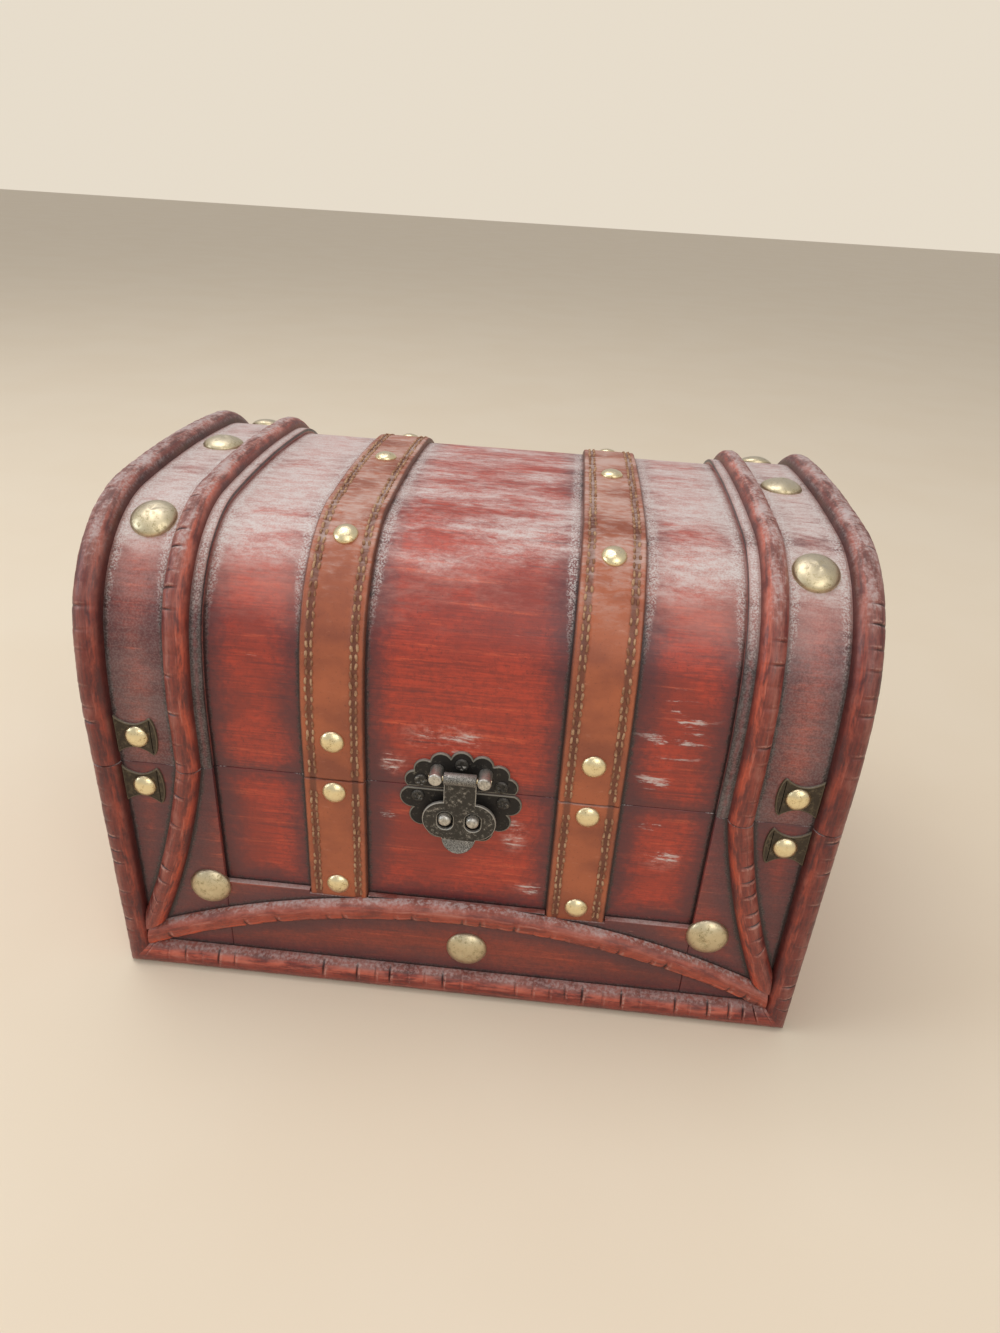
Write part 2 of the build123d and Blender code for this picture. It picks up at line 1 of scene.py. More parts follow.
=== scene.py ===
"""Dresses a small dome-topped treasure chest: stained wood, leather straps, domed nails and a hasp.

Lengths are in metres in the chest's own frame: +Z up, the front towards -Y, +X to the viewer's right,
and the origin at the middle of the underside.
"""
import logging
import math
from dataclasses import dataclass
from enum import Enum
from typing import Callable

import bpy
import numpy as np
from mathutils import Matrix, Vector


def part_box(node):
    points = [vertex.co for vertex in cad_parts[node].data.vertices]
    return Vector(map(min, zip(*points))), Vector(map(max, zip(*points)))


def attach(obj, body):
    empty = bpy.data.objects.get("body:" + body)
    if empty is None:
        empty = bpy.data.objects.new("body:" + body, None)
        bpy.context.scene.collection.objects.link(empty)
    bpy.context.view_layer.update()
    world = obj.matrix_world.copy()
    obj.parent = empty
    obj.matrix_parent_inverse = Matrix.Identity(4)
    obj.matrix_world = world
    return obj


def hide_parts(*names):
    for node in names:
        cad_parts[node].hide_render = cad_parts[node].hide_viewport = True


Array = np.ndarray
Colour = tuple[float, float, float]
Triple = tuple[float, float, float]
Faces = list[list[int]]
Shape = tuple[Array, Faces]
Spot = tuple[Array, Array]
Trim = Callable[[Array], Array]
Socket = bpy.types.NodeSocket
Material = bpy.types.Material
log = logging.getLogger("chest")
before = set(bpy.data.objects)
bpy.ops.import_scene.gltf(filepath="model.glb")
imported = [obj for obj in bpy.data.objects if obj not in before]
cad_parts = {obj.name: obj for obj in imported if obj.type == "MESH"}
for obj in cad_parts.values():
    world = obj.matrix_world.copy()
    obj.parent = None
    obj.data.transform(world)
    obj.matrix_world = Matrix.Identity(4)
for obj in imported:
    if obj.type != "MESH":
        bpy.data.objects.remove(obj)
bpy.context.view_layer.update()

MM = 0.001
SIDES = (("left", -1), ("right", 1))
FACES = (("front", -1), ("back", 1))


@dataclass(frozen=True)
class ChestSizes:
    """The sizes that the pieces share, in metres, the overall ones read from the frame."""

    half_length: float = float(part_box("lid_sheet")[1][0])
    half_depth: float = float(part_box("lid_sheet")[1][1])
    seam: float = float(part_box("base_front_panel")[1][2])
    wall: float = 8.0 * MM
    sheet: float = 3.0 * MM
    band: float = 2.0 * MM
    band_inner_x: float = float(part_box("lid_band_right")[0][0])
    ledge_z: float = float(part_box("base_front_band_bottom")[1][2])
    edge_width: float = 9.0 * MM
    edge_proud: float = 4.5 * MM
    rail_width: float = float(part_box("base_front_moulding_bottom")[1][2])
    inner_width: float = 8.0 * MM
    inner_proud: float = 4.0 * MM
    inner_x: float = 88.5 * MM
    back_gap: float = 6.5 * MM
    strap_width: float = 20.0 * MM
    strap_thick: float = 2.0 * MM
    strap_x: float = float(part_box("lid_strap_right")[0][0]) + strap_width / 2
    strap_foot: float = float(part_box("base_front_strap_right")[0][2])
    corner_rise: float = 10.6 * MM
    corner_drop: float = 8.6 * MM
    corner_thick: float = 0.8 * MM
    plate_thick: float = 1.0 * MM
    sunk: float = 0.3 * MM
    seam_gap: float = 0.25 * MM

    @property
    def band_face(self) -> float:
        """Depth of the raised bands' outer face."""
        return self.half_depth + self.band

    @property
    def straps(self) -> tuple[float, float]:
        """Places of both straps' middle lines along the chest."""
        return -self.strap_x, self.strap_x

    @property
    def corner_face(self) -> float:
        """Depth of the corner plates' outer face."""
        return self.band_face + self.corner_thick

    @property
    def edge_x(self) -> float:
        """Distance of the edge mouldings' middle from the chest's middle."""
        return self.half_length - self.edge_width / 2

    @property
    def moulding_inner_x(self) -> float:
        """Distance of the edge mouldings' inner line from the chest's middle."""
        return self.half_length - self.edge_width


SIZES = ChestSizes()


@dataclass
class Path:
    """A run that a section is carried along.

    Attributes:
        points: Points of the run, one row each.
        out: Unit vectors that point away from the face the run lies on.
        across: Unit vectors across the run, in that face.
        run: Distance along the run at each point.
    """

    points: Array
    out: Array
    across: Array
    run: Array

    def at(self, run: Array) -> "Path":
        """The same run sampled at other distances.

        Args:
            run: Distances along the run.

        Returns:
            A path with one row for each distance.
        """
        def blend(rows: Array) -> Array:
            """Rows read in between by distance."""
            return np.stack([np.interp(run, self.run, rows[:, k]) for k in range(3)], axis=1)

        return Path(blend(self.points), unit(blend(self.out)), unit(blend(self.across)), run)

    @property
    def length(self) -> float:
        """Whole length of the run."""
        return float(self.run[-1])

    @property
    def forward(self) -> Array:
        """Unit vectors along the run."""
        return unit(np.gradient(self.points, axis=0))


@dataclass(frozen=True)
class DomeCurve:
    """Section of the lid's outer face: a straight rise, a slow side arc, a shoulder and a flat crown."""

    straight: float = 16.0 * MM
    side_radius: float = 136.0 * MM
    side_angle: float = math.radians(12.0)
    shoulder_radius: float = 42.0 * MM
    crown_start: float = math.radians(85.5)

    @property
    def side_centre(self) -> tuple[float, float]:
        """Depth and height of the side arc's centre."""
        return SIZES.half_depth - self.side_radius, SIZES.seam + self.straight

    @property
    def shoulder_centre(self) -> tuple[float, float]:
        """Depth and height of the shoulder's centre, on the line that makes both arcs tangent."""
        (depth, height), reach = self.side_centre, self.side_radius - self.shoulder_radius
        return depth + reach * math.cos(self.side_angle), height + reach * math.sin(self.side_angle)

    @property
    def crown_radius(self) -> float:
        """Radius that brings the crown's centre under the middle of the lid."""
        return self.shoulder_radius + self.shoulder_centre[0] / math.cos(self.crown_start)

    @property
    def crown_centre(self) -> tuple[float, float]:
        """Depth and height of the crown's centre."""
        drop = (self.crown_radius - self.shoulder_radius) * math.sin(self.crown_start)
        return 0.0, self.shoulder_centre[1] - drop

    def half(self, offset: float) -> tuple[Array, Array]:
        """Front half of the section, as (depth, height) points and surface angles.

        Each arc is centre + (radius + offset) * (cos angle, sin angle), with the angle of the surface
        normal above level as its parameter.

        Args:
            offset: Distance outward from the lid's outer face.

        Returns:
            Points, one row each, and the angle of the normal at each.
        """
        rise = np.linspace(0.0, self.straight, 9)
        lower = np.stack([np.full_like(rise, SIZES.half_depth + offset), SIZES.seam + rise], axis=1)
        points, angles = [lower], [np.zeros_like(rise)]
        arcs = (
            (self.side_centre, self.side_radius, 0.0, self.side_angle, 24),
            (self.shoulder_centre, self.shoulder_radius, self.side_angle, self.crown_start, 60),
            (self.crown_centre, self.crown_radius, self.crown_start, math.pi / 2, 24),
        )
        for centre, radius, start, stop, count in arcs:
            turn = np.linspace(start, stop, count)[1:]
            reach = radius + offset
            points.append(np.array(centre) + reach * np.stack([np.cos(turn), np.sin(turn)], axis=1))
            angles.append(turn)
        return np.concatenate(points), np.concatenate(angles)

    def path(self, x: float, offset: float, front_cut: float = 0.0, back_cut: float = 0.0) -> Path:
        """Run over the dome at one x, from the front seam to the back seam.

        Args:
            x: Place along the chest.
            offset: Distance outward from the lid's outer face.
            front_cut: Length left off at the front seam.
            back_cut: Length left off at the back seam.

        Returns:
            The run, with its across direction along +X.
        """
        half, turn = self.half(offset)
        depth = np.concatenate([-half[:, 0], half[::-1][1:, 0]])
        height = np.concatenate([half[:, 1], half[::-1][1:, 1]])
        turn = np.concatenate([math.pi - turn, turn[::-1][1:]])
        points = np.stack([np.full_like(depth, x), depth, height], axis=1)
        out = np.stack([np.zeros_like(turn), np.cos(turn), np.sin(turn)], axis=1)
        across = np.tile([1.0, 0.0, 0.0], (len(points), 1))
        steps = np.linalg.norm(np.diff(points, axis=0), axis=1)
        run = np.concatenate([[0.0], np.cumsum(steps)])
        whole = Path(points, out, across, run)
        kept = np.linspace(front_cut, run[-1] - back_cut, 220)
        cut = whole.at(kept)
        cut.run = kept - front_cut
        return cut

    def spot(self, x: float, offset: float, side: int, angle: float) -> Spot:
        """Point and normal on the dome where the normal has turned up by an angle.

        Args:
            x: Place along the chest.
            offset: Distance outward from the lid's outer face.
            side: -1 for the front half, 1 for the back half.
            angle: Angle of the normal above level, in radians.

        Returns:
            The point and the unit normal.
        """
        if angle <= self.crown_start:
            centre, radius = self.shoulder_centre, self.shoulder_radius
        else:
            centre, radius = self.crown_centre, self.crown_radius
        depth = centre[0] + (radius + offset) * math.cos(angle)
        height = centre[1] + (radius + offset) * math.sin(angle)
        normal = np.array([0.0, side * math.cos(angle), math.sin(angle)])
        return np.array([x, side * depth, height]), normal


DOME = DomeCurve()


def unit(vectors: Array) -> Array:
    """Vectors brought to a length of 1."""
    return vectors / np.linalg.norm(vectors, axis=-1, keepdims=True)


def straight_path(start: Array, end: Array, out: Array, count: int = 60) -> Path:
    """Straight run between two points.

    Args:
        start: First point.
        end: Last point.
        out: Direction away from the face that the run lies on.
        count: Number of points.

    Returns:
        The run, with across = forward x out.
    """
    start, end, out = np.array(start, float), np.array(end, float), np.array(out, float)
    share = np.linspace(0.0, 1.0, count)[:, None]
    points = start + (end - start) * share
    length = float(np.linalg.norm(end - start))
    across = np.cross(unit(end - start), out)
    rows = (count, 1)
    return Path(points, np.tile(out, rows), np.tile(across, rows), share[:, 0] * length)


def front_arc_path(
    centre: tuple[float, float], radius: float, start: float, stop: float, depth: float
) -> Path:
    """Arc in a plane parallel to the front, at y = -depth.

    A point is centre + radius * (cos angle, sin angle) in (x, z).

    Args:
        centre: x and z of the arc's centre.
        radius: Radius of the arc.
        start: First angle, in radians.
        stop: Last angle, in radians.
        depth: Distance of the plane in front of the chest's middle.

    Returns:
        The run, with out towards -Y and across away from the centre.
    """
    turn = np.linspace(start, stop, 160)
    ray = np.stack([np.cos(turn), np.zeros_like(turn), np.sin(turn)], axis=1)
    middle = np.array([centre[0], -depth, centre[1]])
    out = np.tile([0.0, -1.0, 0.0], (len(turn), 1))
    return Path(middle + radius * ray, out, ray, np.abs(turn - start) * radius)


def grid_faces(rows: int, columns: int) -> Faces:
    """Faces of a tube of points, closed round its columns, with an end face at each end.

    Args:
        rows: Points along the tube.
        columns: Points round the tube.

    Returns:
        Faces as lists of point indices.
    """
    index = np.arange(rows * columns).reshape(rows, columns)
    turned = np.roll(index, -1, axis=1)
    quads = np.stack([index[:-1], turned[:-1], turned[1:], index[1:]], axis=-1).reshape(-1, 4)
    return quads.tolist() + [index[0][::-1].tolist(), index[-1].tolist()]


def signed_volume(points: Array, faces: Faces) -> float:
    """Volume inside the faces, negative where they point inwards: the sum of a . (b x c) / 6 over fans.

    Args:
        points: Points, one row each.
        faces: Faces as lists of point indices.

    Returns:
        The volume.
    """
    fans = np.array([(face[0], face[k], face[k + 1]) for face in faces for k in range(1, len(face) - 1)])
    a, b, c = points[fans[:, 0]], points[fans[:, 1]], points[fans[:, 2]]
    return float(np.einsum("ij,ij->i", a, np.cross(b, c)).sum() / 6.0)


class Piece:
    """One finished object of the chest, made from points and faces."""

    def __init__(self, name: str, points: Array, faces: Faces, sharp: float = 40.0) -> None:
        """Makes the object at the origin, with its faces pointing outwards.

        Args:
            name: Name of the piece.
            points: Points, one row each.
            faces: Faces as lists of point indices.
            sharp: Angle between faces, in degrees, past which an edge stays sharp.
        """
        if signed_volume(points, faces) < 0:
            faces = [face[::-1] for face in faces]
        mesh = bpy.data.meshes.new(name)
        mesh.from_pydata(points.tolist(), [], faces)
        mesh.update()
        mesh.shade_smooth()
        mesh.set_sharp_from_angle(angle=math.radians(sharp))
        self.mesh = mesh
        self.object = bpy.data.objects.new(name, mesh)
        bpy.context.scene.collection.objects.link(self.object)

    def lay(self, pairs: Array) -> "Piece":
        """Gives the mesh a UV map in metres, one pair for each point.

        Args:
            pairs: Distance along and across the piece at each point.

        Returns:
            The piece.
        """
        layer = self.mesh.uv_layers.new(name="lay")
        corners = np.empty(len(self.mesh.loops), dtype=np.int32)
        self.mesh.loops.foreach_get("vertex_index", corners)
        layer.data.foreach_set("uv", pairs[corners].astype(np.float32).ravel())
        return self

    def mark(self, label: str, values: Array, domain: str = "POINT") -> "Piece":
        """Gives the mesh a number for each point or face.

        Args:
            label: Name of the number, which the finish reads.
            values: The numbers.
            domain: "POINT" or "FACE".

        Returns:
            The piece.
        """
        layer = self.mesh.attributes.new(label, "FLOAT", domain)
        layer.data.foreach_set("value", values.astype(np.float32).ravel())
        return self

    def dress(self, material: Material) -> "Piece":
        """Gives the piece its material."""
        self.mesh.materials.append(material)
        return self

    def mount(self, body: str, slot: str, *nodes: str) -> "Piece":
        """Fixes the piece to a body.

        Args:
            body: Body that it rides on.
            slot: Name of its finish; not used.
            nodes: Nodes that it stands for.

        Returns:
            The piece.
        """
        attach(self.object, body)
        if nodes:
            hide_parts(*nodes)
        log.info("%s: %d faces on %s", self.object.name, len(self.mesh.polygons), body)
        return self


def carried(path: Path, profile: Array) -> Array:
    """Section carried along a path: point = path + across * u + out * v.

    Args:
        path: The run.
        profile: (u, v) pairs, as (columns, 2) or as (rows, columns, 2) where the section changes.

    Returns:
        Points as (rows, columns, 3).
    """
    section = np.broadcast_to(profile, (len(path.points),) + profile.shape[-2:])
    return (
        path.points[:, None, :]
        + section[..., 0:1] * path.across[:, None, :]
        + section[..., 1:2] * path.out[:, None, :]
    )


def eased_section(left: float, right: float, low: float, high: float, ease: float, inset: Array) -> Array:
    """Rectangle with quarter-round corners, drawn in by an inset on all sides.

    Args:
        left: Lowest u.
        right: Highest u.
        low: Lowest v.
        high: Highest v.
        ease: Radius of the corners.
        inset: How far each row is drawn in.

    Returns:
        Sections as (rows, columns, 2).
    """
    corners = ((right, high, 0.0), (left, high, 90.0), (left, low, 180.0), (right, low, 270.0))
    rows = []
    for u, v, first in corners:
        turn = np.radians(first + np.linspace(0.0, 90.0, 4))
        inner_u = u - math.copysign(ease, u - (left + right) / 2)
        inner_v = v - math.copysign(ease, v - (low + high) / 2)
        rows.append(np.stack([inner_u + ease * np.cos(turn), inner_v + ease * np.sin(turn)], axis=1))
    loop = np.concatenate(rows)
    middle = np.array([(left + right) / 2, (low + high) / 2])
    half = np.array([(right - left) / 2, (high - low) / 2])
    return middle + (loop - middle) * ((half - inset[:, None, None]) / half)


def eased_runs(length: float, ease: float, step: float) -> tuple[Array, Array]:
    """Distances along a run and the inset at each that rounds both its ends.

    The inset is ease - sqrt(ease^2 - (ease - d)^2), where d is the distance to the nearer end.

    Args:
        length: Length of the run.
        ease: Radius of the end rounding.
        step: Distance between rows in the middle.

    Returns:
        Distances and insets.
    """
    near = ease * (1 - np.cos(np.linspace(0.0, math.pi / 2, 5)))
    middle = np.linspace(ease, length - ease, max(2, int(length / step)))[1:-1]
    run = np.concatenate([near, middle, length - near[::-1]])
    gap = np.clip(ease - np.minimum(run, length - run), 0.0, ease)
    return run, ease - np.sqrt(np.maximum(ease ** 2 - gap ** 2, 0.0))


def eased_strip(
    name: str, path: Path, half_width: float, low: float, high: float, ease: float, step: float = 3 * MM
) -> Piece:
    """Board or sheet with eased edges, carried along a path.

    Args:
        name: Name of the piece.
        path: The run along the strip's middle.
        half_width: Half of the strip's width.
        low: Offset of the under face.
        high: Offset of the upper face.
        ease: Radius of every edge.
        step: Distance between rows.

    Returns:
        The piece, with a UV map along and across the strip.
    """
    run, inset = eased_runs(path.length, ease, step)
    section = eased_section(-half_width, half_width, low, high, ease, inset)
    grid = carried(path.at(run), section)
    pairs = np.stack([np.broadcast_to(run[:, None], section.shape[:2]), section[..., 0]], axis=-1)
    return Piece(name, grid.reshape(-1, 3), grid_faces(*grid.shape[:2])).lay(pairs.reshape(-1, 2))


def anticlockwise(outline: Array) -> Array:
    """The outline with its points running anticlockwise.

    Args:
        outline: Points, one (x, y) row each.

    Returns:
        The same points, turned round where their area comes out negative.
    """
    x, y = outline[:, 0], outline[:, 1]
    area = float(np.sum(x * np.roll(y, -1) - np.roll(x, -1) * y))
    return outline if area > 0 else outline[::-1]


def drawn_in(outline: Array, inset: float) -> Array:
    """Anticlockwise outline moved inwards along the mitre of its corners.

    Args:
        outline: Points, one (x, y) row each.
        inset: Distance moved.

    Returns:
        The moved outline.
    """
    along = unit(np.roll(outline, -1, axis=0) - outline)
    after = np.stack([-along[:, 1], along[:, 0]], axis=1)
    before = np.roll(after, 1, axis=0)
    mitre = before + after
    mitre /= np.maximum(np.sum(mitre * before, axis=1, keepdims=True), 0.3)
    return outline + inset * mitre


def ringed(outline: Array, levels: list[tuple[float, float]]) -> Array:
    """Rings of an outline, one for each (inset, height) pair.

    Args:
        outline: Points, one (x, y) row each.
        levels: How far each ring is drawn in, and its height.

    Returns:
        Points as (rings, columns, 3).
    """
    outline = anticlockwise(outline)
    rings = [(drawn_in(outline, inset), np.full(len(outline), height)) for inset, height in levels]
    return np.stack([np.column_stack(ring) for ring in rings])


@dataclass(frozen=True)
class Facing:
    """A flat place: an origin and the directions of its width, its height and its outward normal."""

    origin: Triple
    right: Triple
    up: Triple

    @property
    def out(self) -> Array:
        """Outward normal of the place."""
        return np.cross(self.right, self.up)

    def put(self, points: Array) -> Array:
        """Points given as (right, up, out) rows, moved to the place."""
        return np.array(self.origin) + points @ np.stack([self.right, self.up, self.out])


RIGHTWARD = np.array([1.0, 0.0, 0.0])
FRONT = Facing((0.0, 0.0, 0.0), (1.0, 0.0, 0.0), (0.0, 0.0, 1.0))
BACK = Facing((0.0, 0.0, 0.0), (-1.0, 0.0, 0.0), (0.0, 0.0, 1.0))


def eased_plate(
    name: str, outline: Array, low: float, high: float, ease: float, place: Facing, sharp: float = 40.0
) -> Piece:
    """Flat plate with a rounded rim on its outer face and a smaller one on its under face.

    Args:
        name: Name of the piece.
        outline: Outline in the plate's own plane.
        low: Distance of the under face from the place's origin.
        high: Distance of the outer face.
        ease: Radius of the rims.
        place: Where the plate lies.
        sharp: Angle past which an edge stays sharp, in degrees.

    Returns:
        The piece, with its outline's own coordinates as its UV map.
    """
    turn = np.linspace(0.0, math.pi / 2, 4)
    levels = [(ease * (1 - math.sin(t)), low + ease * (1 - math.cos(t))) for t in turn]
    levels += [(ease * (1 - math.cos(t)), high - ease * (1 - math.sin(t))) for t in turn]
    grid = ringed(outline, levels)
    points = grid.reshape(-1, 3)
    return Piece(name, place.put(points), grid_faces(*grid.shape[:2]), sharp).lay(points[:, :2])


def eased_box(name: str, low: Array, high: Array, ease: float) -> Piece:
    """Board between two corners, with rounded edges.

    Args:
        name: Name of the piece.
        low: Lowest corner.
        high: Highest corner.
        ease: Radius of the edges.

    Returns:
        The piece, with (x, z) as its UV map.
    """
    (x0, y0, z0), (x1, y1, z1) = low, high
    outline = np.array([(x0, z0), (x1, z0), (x1, z1), (x0, z1)])
    return eased_plate(name, outline, -y1, -y0, ease, FRONT)


def joined(parts: list[Shape]) -> Shape:
    """Several sets of points and faces as one.

    Args:
        parts: Points and faces of each.

    Returns:
        All points and all faces.
    """
    points, faces, count = [], [], 0
    for part_points, part_faces in parts:
        points.append(part_points)
        faces.extend([[index + count for index in face] for face in part_faces])
        count += len(part_points)
    return np.concatenate(points), faces


def revolved(
    spot: Array,
    normal: Array,
    profile: Array,
    sides: int,
    dents: Callable[[Array, Array], Array] | None = None,
) -> Shape:
    """Turned shape: each ring is spot + radius * (cos a, sin a) across the normal + height along it.

    Args:
        spot: Foot of the axis.
        normal: Direction of the axis.
        profile: (radius, height) rows from the foot to the top, where the last radius is zero.
        sides: Points in a ring.
        dents: Change of height for given angles and radii.

    Returns:
        Points and faces.
    """
    side = unit(np.cross(normal, [1.0, 0.0, 0.0] if abs(normal[0]) < 0.9 else [0.0, 1.0, 0.0]))
    other = np.cross(normal, side)
    turn = np.linspace(0.0, 2 * math.pi, sides, endpoint=False)
    rings = profile[:-1]
    radius, angle = np.meshgrid(rings[:, 0], turn, indexing="ij")
    height = np.repeat(rings[:, 1:2], sides, axis=1)
    if dents is not None:
        height = height + dents(angle, radius)
    grid = (
        np.array(spot)
        + (radius * np.cos(angle))[..., None] * side
        + (radius * np.sin(angle))[..., None] * other
        + height[..., None] * normal
    )
    top = np.array(spot) + profile[-1, 1] * normal
    points = np.concatenate([grid.reshape(-1, 3), top[None, :]])
    *quads, foot, rim = grid_faces(len(rings), sides)
    fan = [[rim[k], rim[(k + 1) % sides], len(rings) * sides] for k in range(sides)]
    return points, quads + fan + [foot]


def blunt_rod(radius: float, length: float, nose: float, foot: float, count: int, tip: float = 0.0) -> Array:
    """Profile of a rod with a rounded nose, for turning.

    Args:
        radius: Radius of the rod.
        length: Length of the rod.
        nose: Radius of its rounded edge.
        foot: How far it starts under its seat.
        count: Points round the edge.
        tip: Height that its middle gains.

    Returns:
        (radius, height) rows.
    """
    turn = np.linspace(0.0, math.pi / 2, count)
    edge = np.column_stack([radius - nose * (1 - np.cos(turn)), length - nose * (1 - np.sin(turn))])
    return np.vstack([[(radius, -foot)], edge, [(0.0, length + tip)]])


@dataclass(frozen=True)
class Output:
    """One output in a material's node tree, with the shader that it belongs to."""

    shader: "Shader"
    socket: Socket


class Value(Output):
    """A number in a material's node tree, with arithmetic written as operators."""

    def maths(self, operation: str, *others: "Value | float") -> "Value":
        """Maths node over this value and others."""
        inputs = dict(enumerate((self, *others)))
        return Value(self.shader, self.shader.node("Math", inputs, operation=operation).outputs[0])

    def __add__(self, other: "Value | float") -> "Value":
        """Sum."""
        return self.maths("ADD", other)

    __radd__ = __add__

    def __sub__(self, other: "Value | float") -> "Value":
        """Difference."""
        return self.maths("SUBTRACT", other)

    def __rsub__(self, other: float) -> "Value":
        """A number less this value."""
        return self.maths("MULTIPLY_ADD", -1.0, other)

    def __mul__(self, other: "Value | float") -> "Value":
        """Product."""
        return self.maths("MULTIPLY", other)

    __rmul__ = __mul__

    def __truediv__(self, other: "Value | float") -> "Value":
        """Quotient."""
        return self.maths("DIVIDE", other)

    def __rtruediv__(self, other: float) -> "Value":
        """A number over this value."""
        return self.maths("POWER", -1.0) * other

    def __pow__(self, other: float) -> "Value":
        """Power of the value held at zero or more."""
        return self.maths("MAXIMUM", 0.0).maths("POWER", other)

    def __abs__(self) -> "Value":
        """Size without sign."""
        return self.maths("ABSOLUTE")

    def least(self, other: "Value | float") -> "Value":
        """Smaller of two values."""
        return self.maths("MINIMUM", other)

    def most(self, other: "Value | float") -> "Value":
        """Larger of two values."""
        return self.maths("MAXIMUM", other)

    def step(self, start: float, stop: float) -> "Value":
        """Smooth rise from 0 at start to 1 at stop; it falls where stop is the smaller.

        Args:
            start: Value at which the result is 0.
            stop: Value at which the result is 1.

        Returns:
            The result between 0 and 1.
        """
        low, high = min(start, stop), max(start, stop)
        ends = (0.0, 1.0) if start < stop else (1.0, 0.0)
        inputs = {"Value": self, "From Min": low, "From Max": high, "To Min": ends[0], "To Max": ends[1]}
        node = self.shader.node("MapRange", inputs, interpolation_type="SMOOTHSTEP", clamp=True)
        return Value(self.shader, node.outputs["Result"])


class Tint(Output):
    """A colour in a material's node tree."""

    def towards(self, other: "Tint | Colour", share: Value | float) -> "Tint":
        """Blend with a share of another colour."""
        node = self.shader.node("Mix", {0: share, 6: self, 7: other}, data_type="RGBA", clamp_factor=True)
        return Tint(self.shader, node.outputs[2])


class Shader:
    """A material under construction, with short ways to reach places, noise and the surface."""

    def __init__(self, name: str) -> None:
        """Starts an empty material.

        Args:
            name: Name of the material.
        """
        self.material = bpy.data.materials.new(name)
        self.material.use_nodes = True
        self.tree = self.material.node_tree
        self.tree.nodes.clear()
        self.place = self.node("TexCoord").outputs["Object"]

    def node(
        self, kind: str, inputs: dict[int | str, object] | None = None, **settings: object
    ) -> bpy.types.Node:
        """Adds one node, gives it its settings, then its inputs as values or links.

        Args:
            kind: Node type, without its prefix.
            inputs: Values, sockets, Value or Tint objects by input.
            settings: Attributes of the node.

        Returns:
            The node.
        """
        node = self.tree.nodes.new(f"ShaderNode{kind}")
        for key, setting in settings.items():
            setattr(node, key, setting)
        for key, given in (inputs or {}).items():
            source = given.socket if isinstance(given, Output) else given
            if isinstance(source, Socket):
                self.tree.links.new(source, node.inputs[key])
            elif isinstance(source, tuple) and node.inputs[key].type == "RGBA":
                node.inputs[key].default_value = (*source[:3], 1.0)
            else:
                node.inputs[key].default_value = source
        return node

    def split(self, vector: Socket) -> tuple[Value, Value, Value]:
        """A vector's three parts."""
        return tuple(Value(self, output) for output in self.node("SeparateXYZ", {0: vector}).outputs)

    def scaled(self, factors: Triple | float, source: Socket | None = None) -> Socket:
        """The place, or another vector, multiplied axis by axis or as a whole."""
        factors = factors if isinstance(factors, tuple) else (factors,) * 3
        return self.node("VectorMath", {0: source or self.place, 1: factors}, operation="MULTIPLY").outputs[0]

    def axes(self) -> tuple[Value, Value, Value]:
        """The place's x, y and z in millimetres."""
        return self.split(self.scaled(1 / MM))

    def laid(self) -> Socket:
        """The piece's own UV map, in metres."""
        return self.node("UVMap", uv_map="lay").outputs[0]

    def across(self) -> Value:
        """Distance from the middle line of a run, in millimetres."""
        return self.split(self.scaled(1 / MM, self.laid()))[1]

    def noise(
        self,
        stretch: Triple | float,
        detail: float = 4.0,
        rough: float = 0.55,
        source: Socket | None = None,
        warp: float = 0.0,
    ) -> Value:
        """Noise around 0.5.

        Args:
            stretch: Waves per metre, along each axis or along all of them.
            detail: Number of finer layers.
            rough: Strength of the finer layers.
            source: Vector to read in place of the object's own place.
            warp: Distortion.

        Returns:
            The noise.
        """
        inputs = {
            "Vector": self.scaled(stretch, source), "Scale": 1.0, "Detail": detail, "Roughness": rough,
            "Distortion": warp,
        }
        return Value(self, self.node("TexNoise", inputs).outputs["Fac"])

    def attribute(self, name: str) -> Value:
        """A number that the mesh carries."""
        return Value(self, self.node("Attribute", attribute_name=name).outputs["Fac"])

    def normals(self) -> tuple[Value, Value, Value]:
        """The surface's normal on the closed chest, so that dust stays put as the lid opens.

        Returns:
            Its x, y and z.
        """
        facing = self.node("NewGeometry").outputs["Normal"]
        turned = self.node(
            "VectorTransform", {0: facing}, vector_type="NORMAL", convert_from="WORLD", convert_to="OBJECT"
        )
        return self.split(turned.outputs[0])

    def upward(self) -> Value:
        """Height of the surface's normal, where 1 faces straight up."""
        return self.normals()[2]

    def colour(self, value: Colour) -> Tint:
        """A plain colour to start from.

        Args:
            value: Red, green and blue.

        Returns:
            The colour.
        """
        node = self.node("RGB")
        node.outputs[0].default_value = (*value, 1.0)
        return Tint(self, node.outputs[0])

    def finish(
        self,
        colour: Tint,
        rough: Value | float,
        metal: Value | float = 0.0,
        relief: Value | None = None,
        relief_depth: float = 0.12 * MM,
        coat: float = 0.0,
        specular: float = 0.5,
    ) -> Material:
        """Closes the material.

        Args:
            colour: Base colour.
            rough: Roughness.
            metal: Metallic.
            relief: Height of fine relief.
            relief_depth: Depth of the relief, in metres.
            coat: Weight of the clear coat.
            specular: Level of the plain gloss.

        Returns:
            The material.
        """
        inputs = {
            "Base Color": colour, "Roughness": rough, "Metallic": metal, "Coat Weight": coat,
            "Coat Roughness": 0.3, "Specular IOR Level": specular,
        }
        if relief is not None:
            bump = self.node("Bump", {"Height": relief, "Distance": relief_depth, "Strength": 1.0})
            inputs["Normal"] = bump.outputs[0]
        surface = self.node("BsdfPrincipled", inputs)
        self.node("OutputMaterial", {"Surface": surface.outputs[0]})
        return self.material


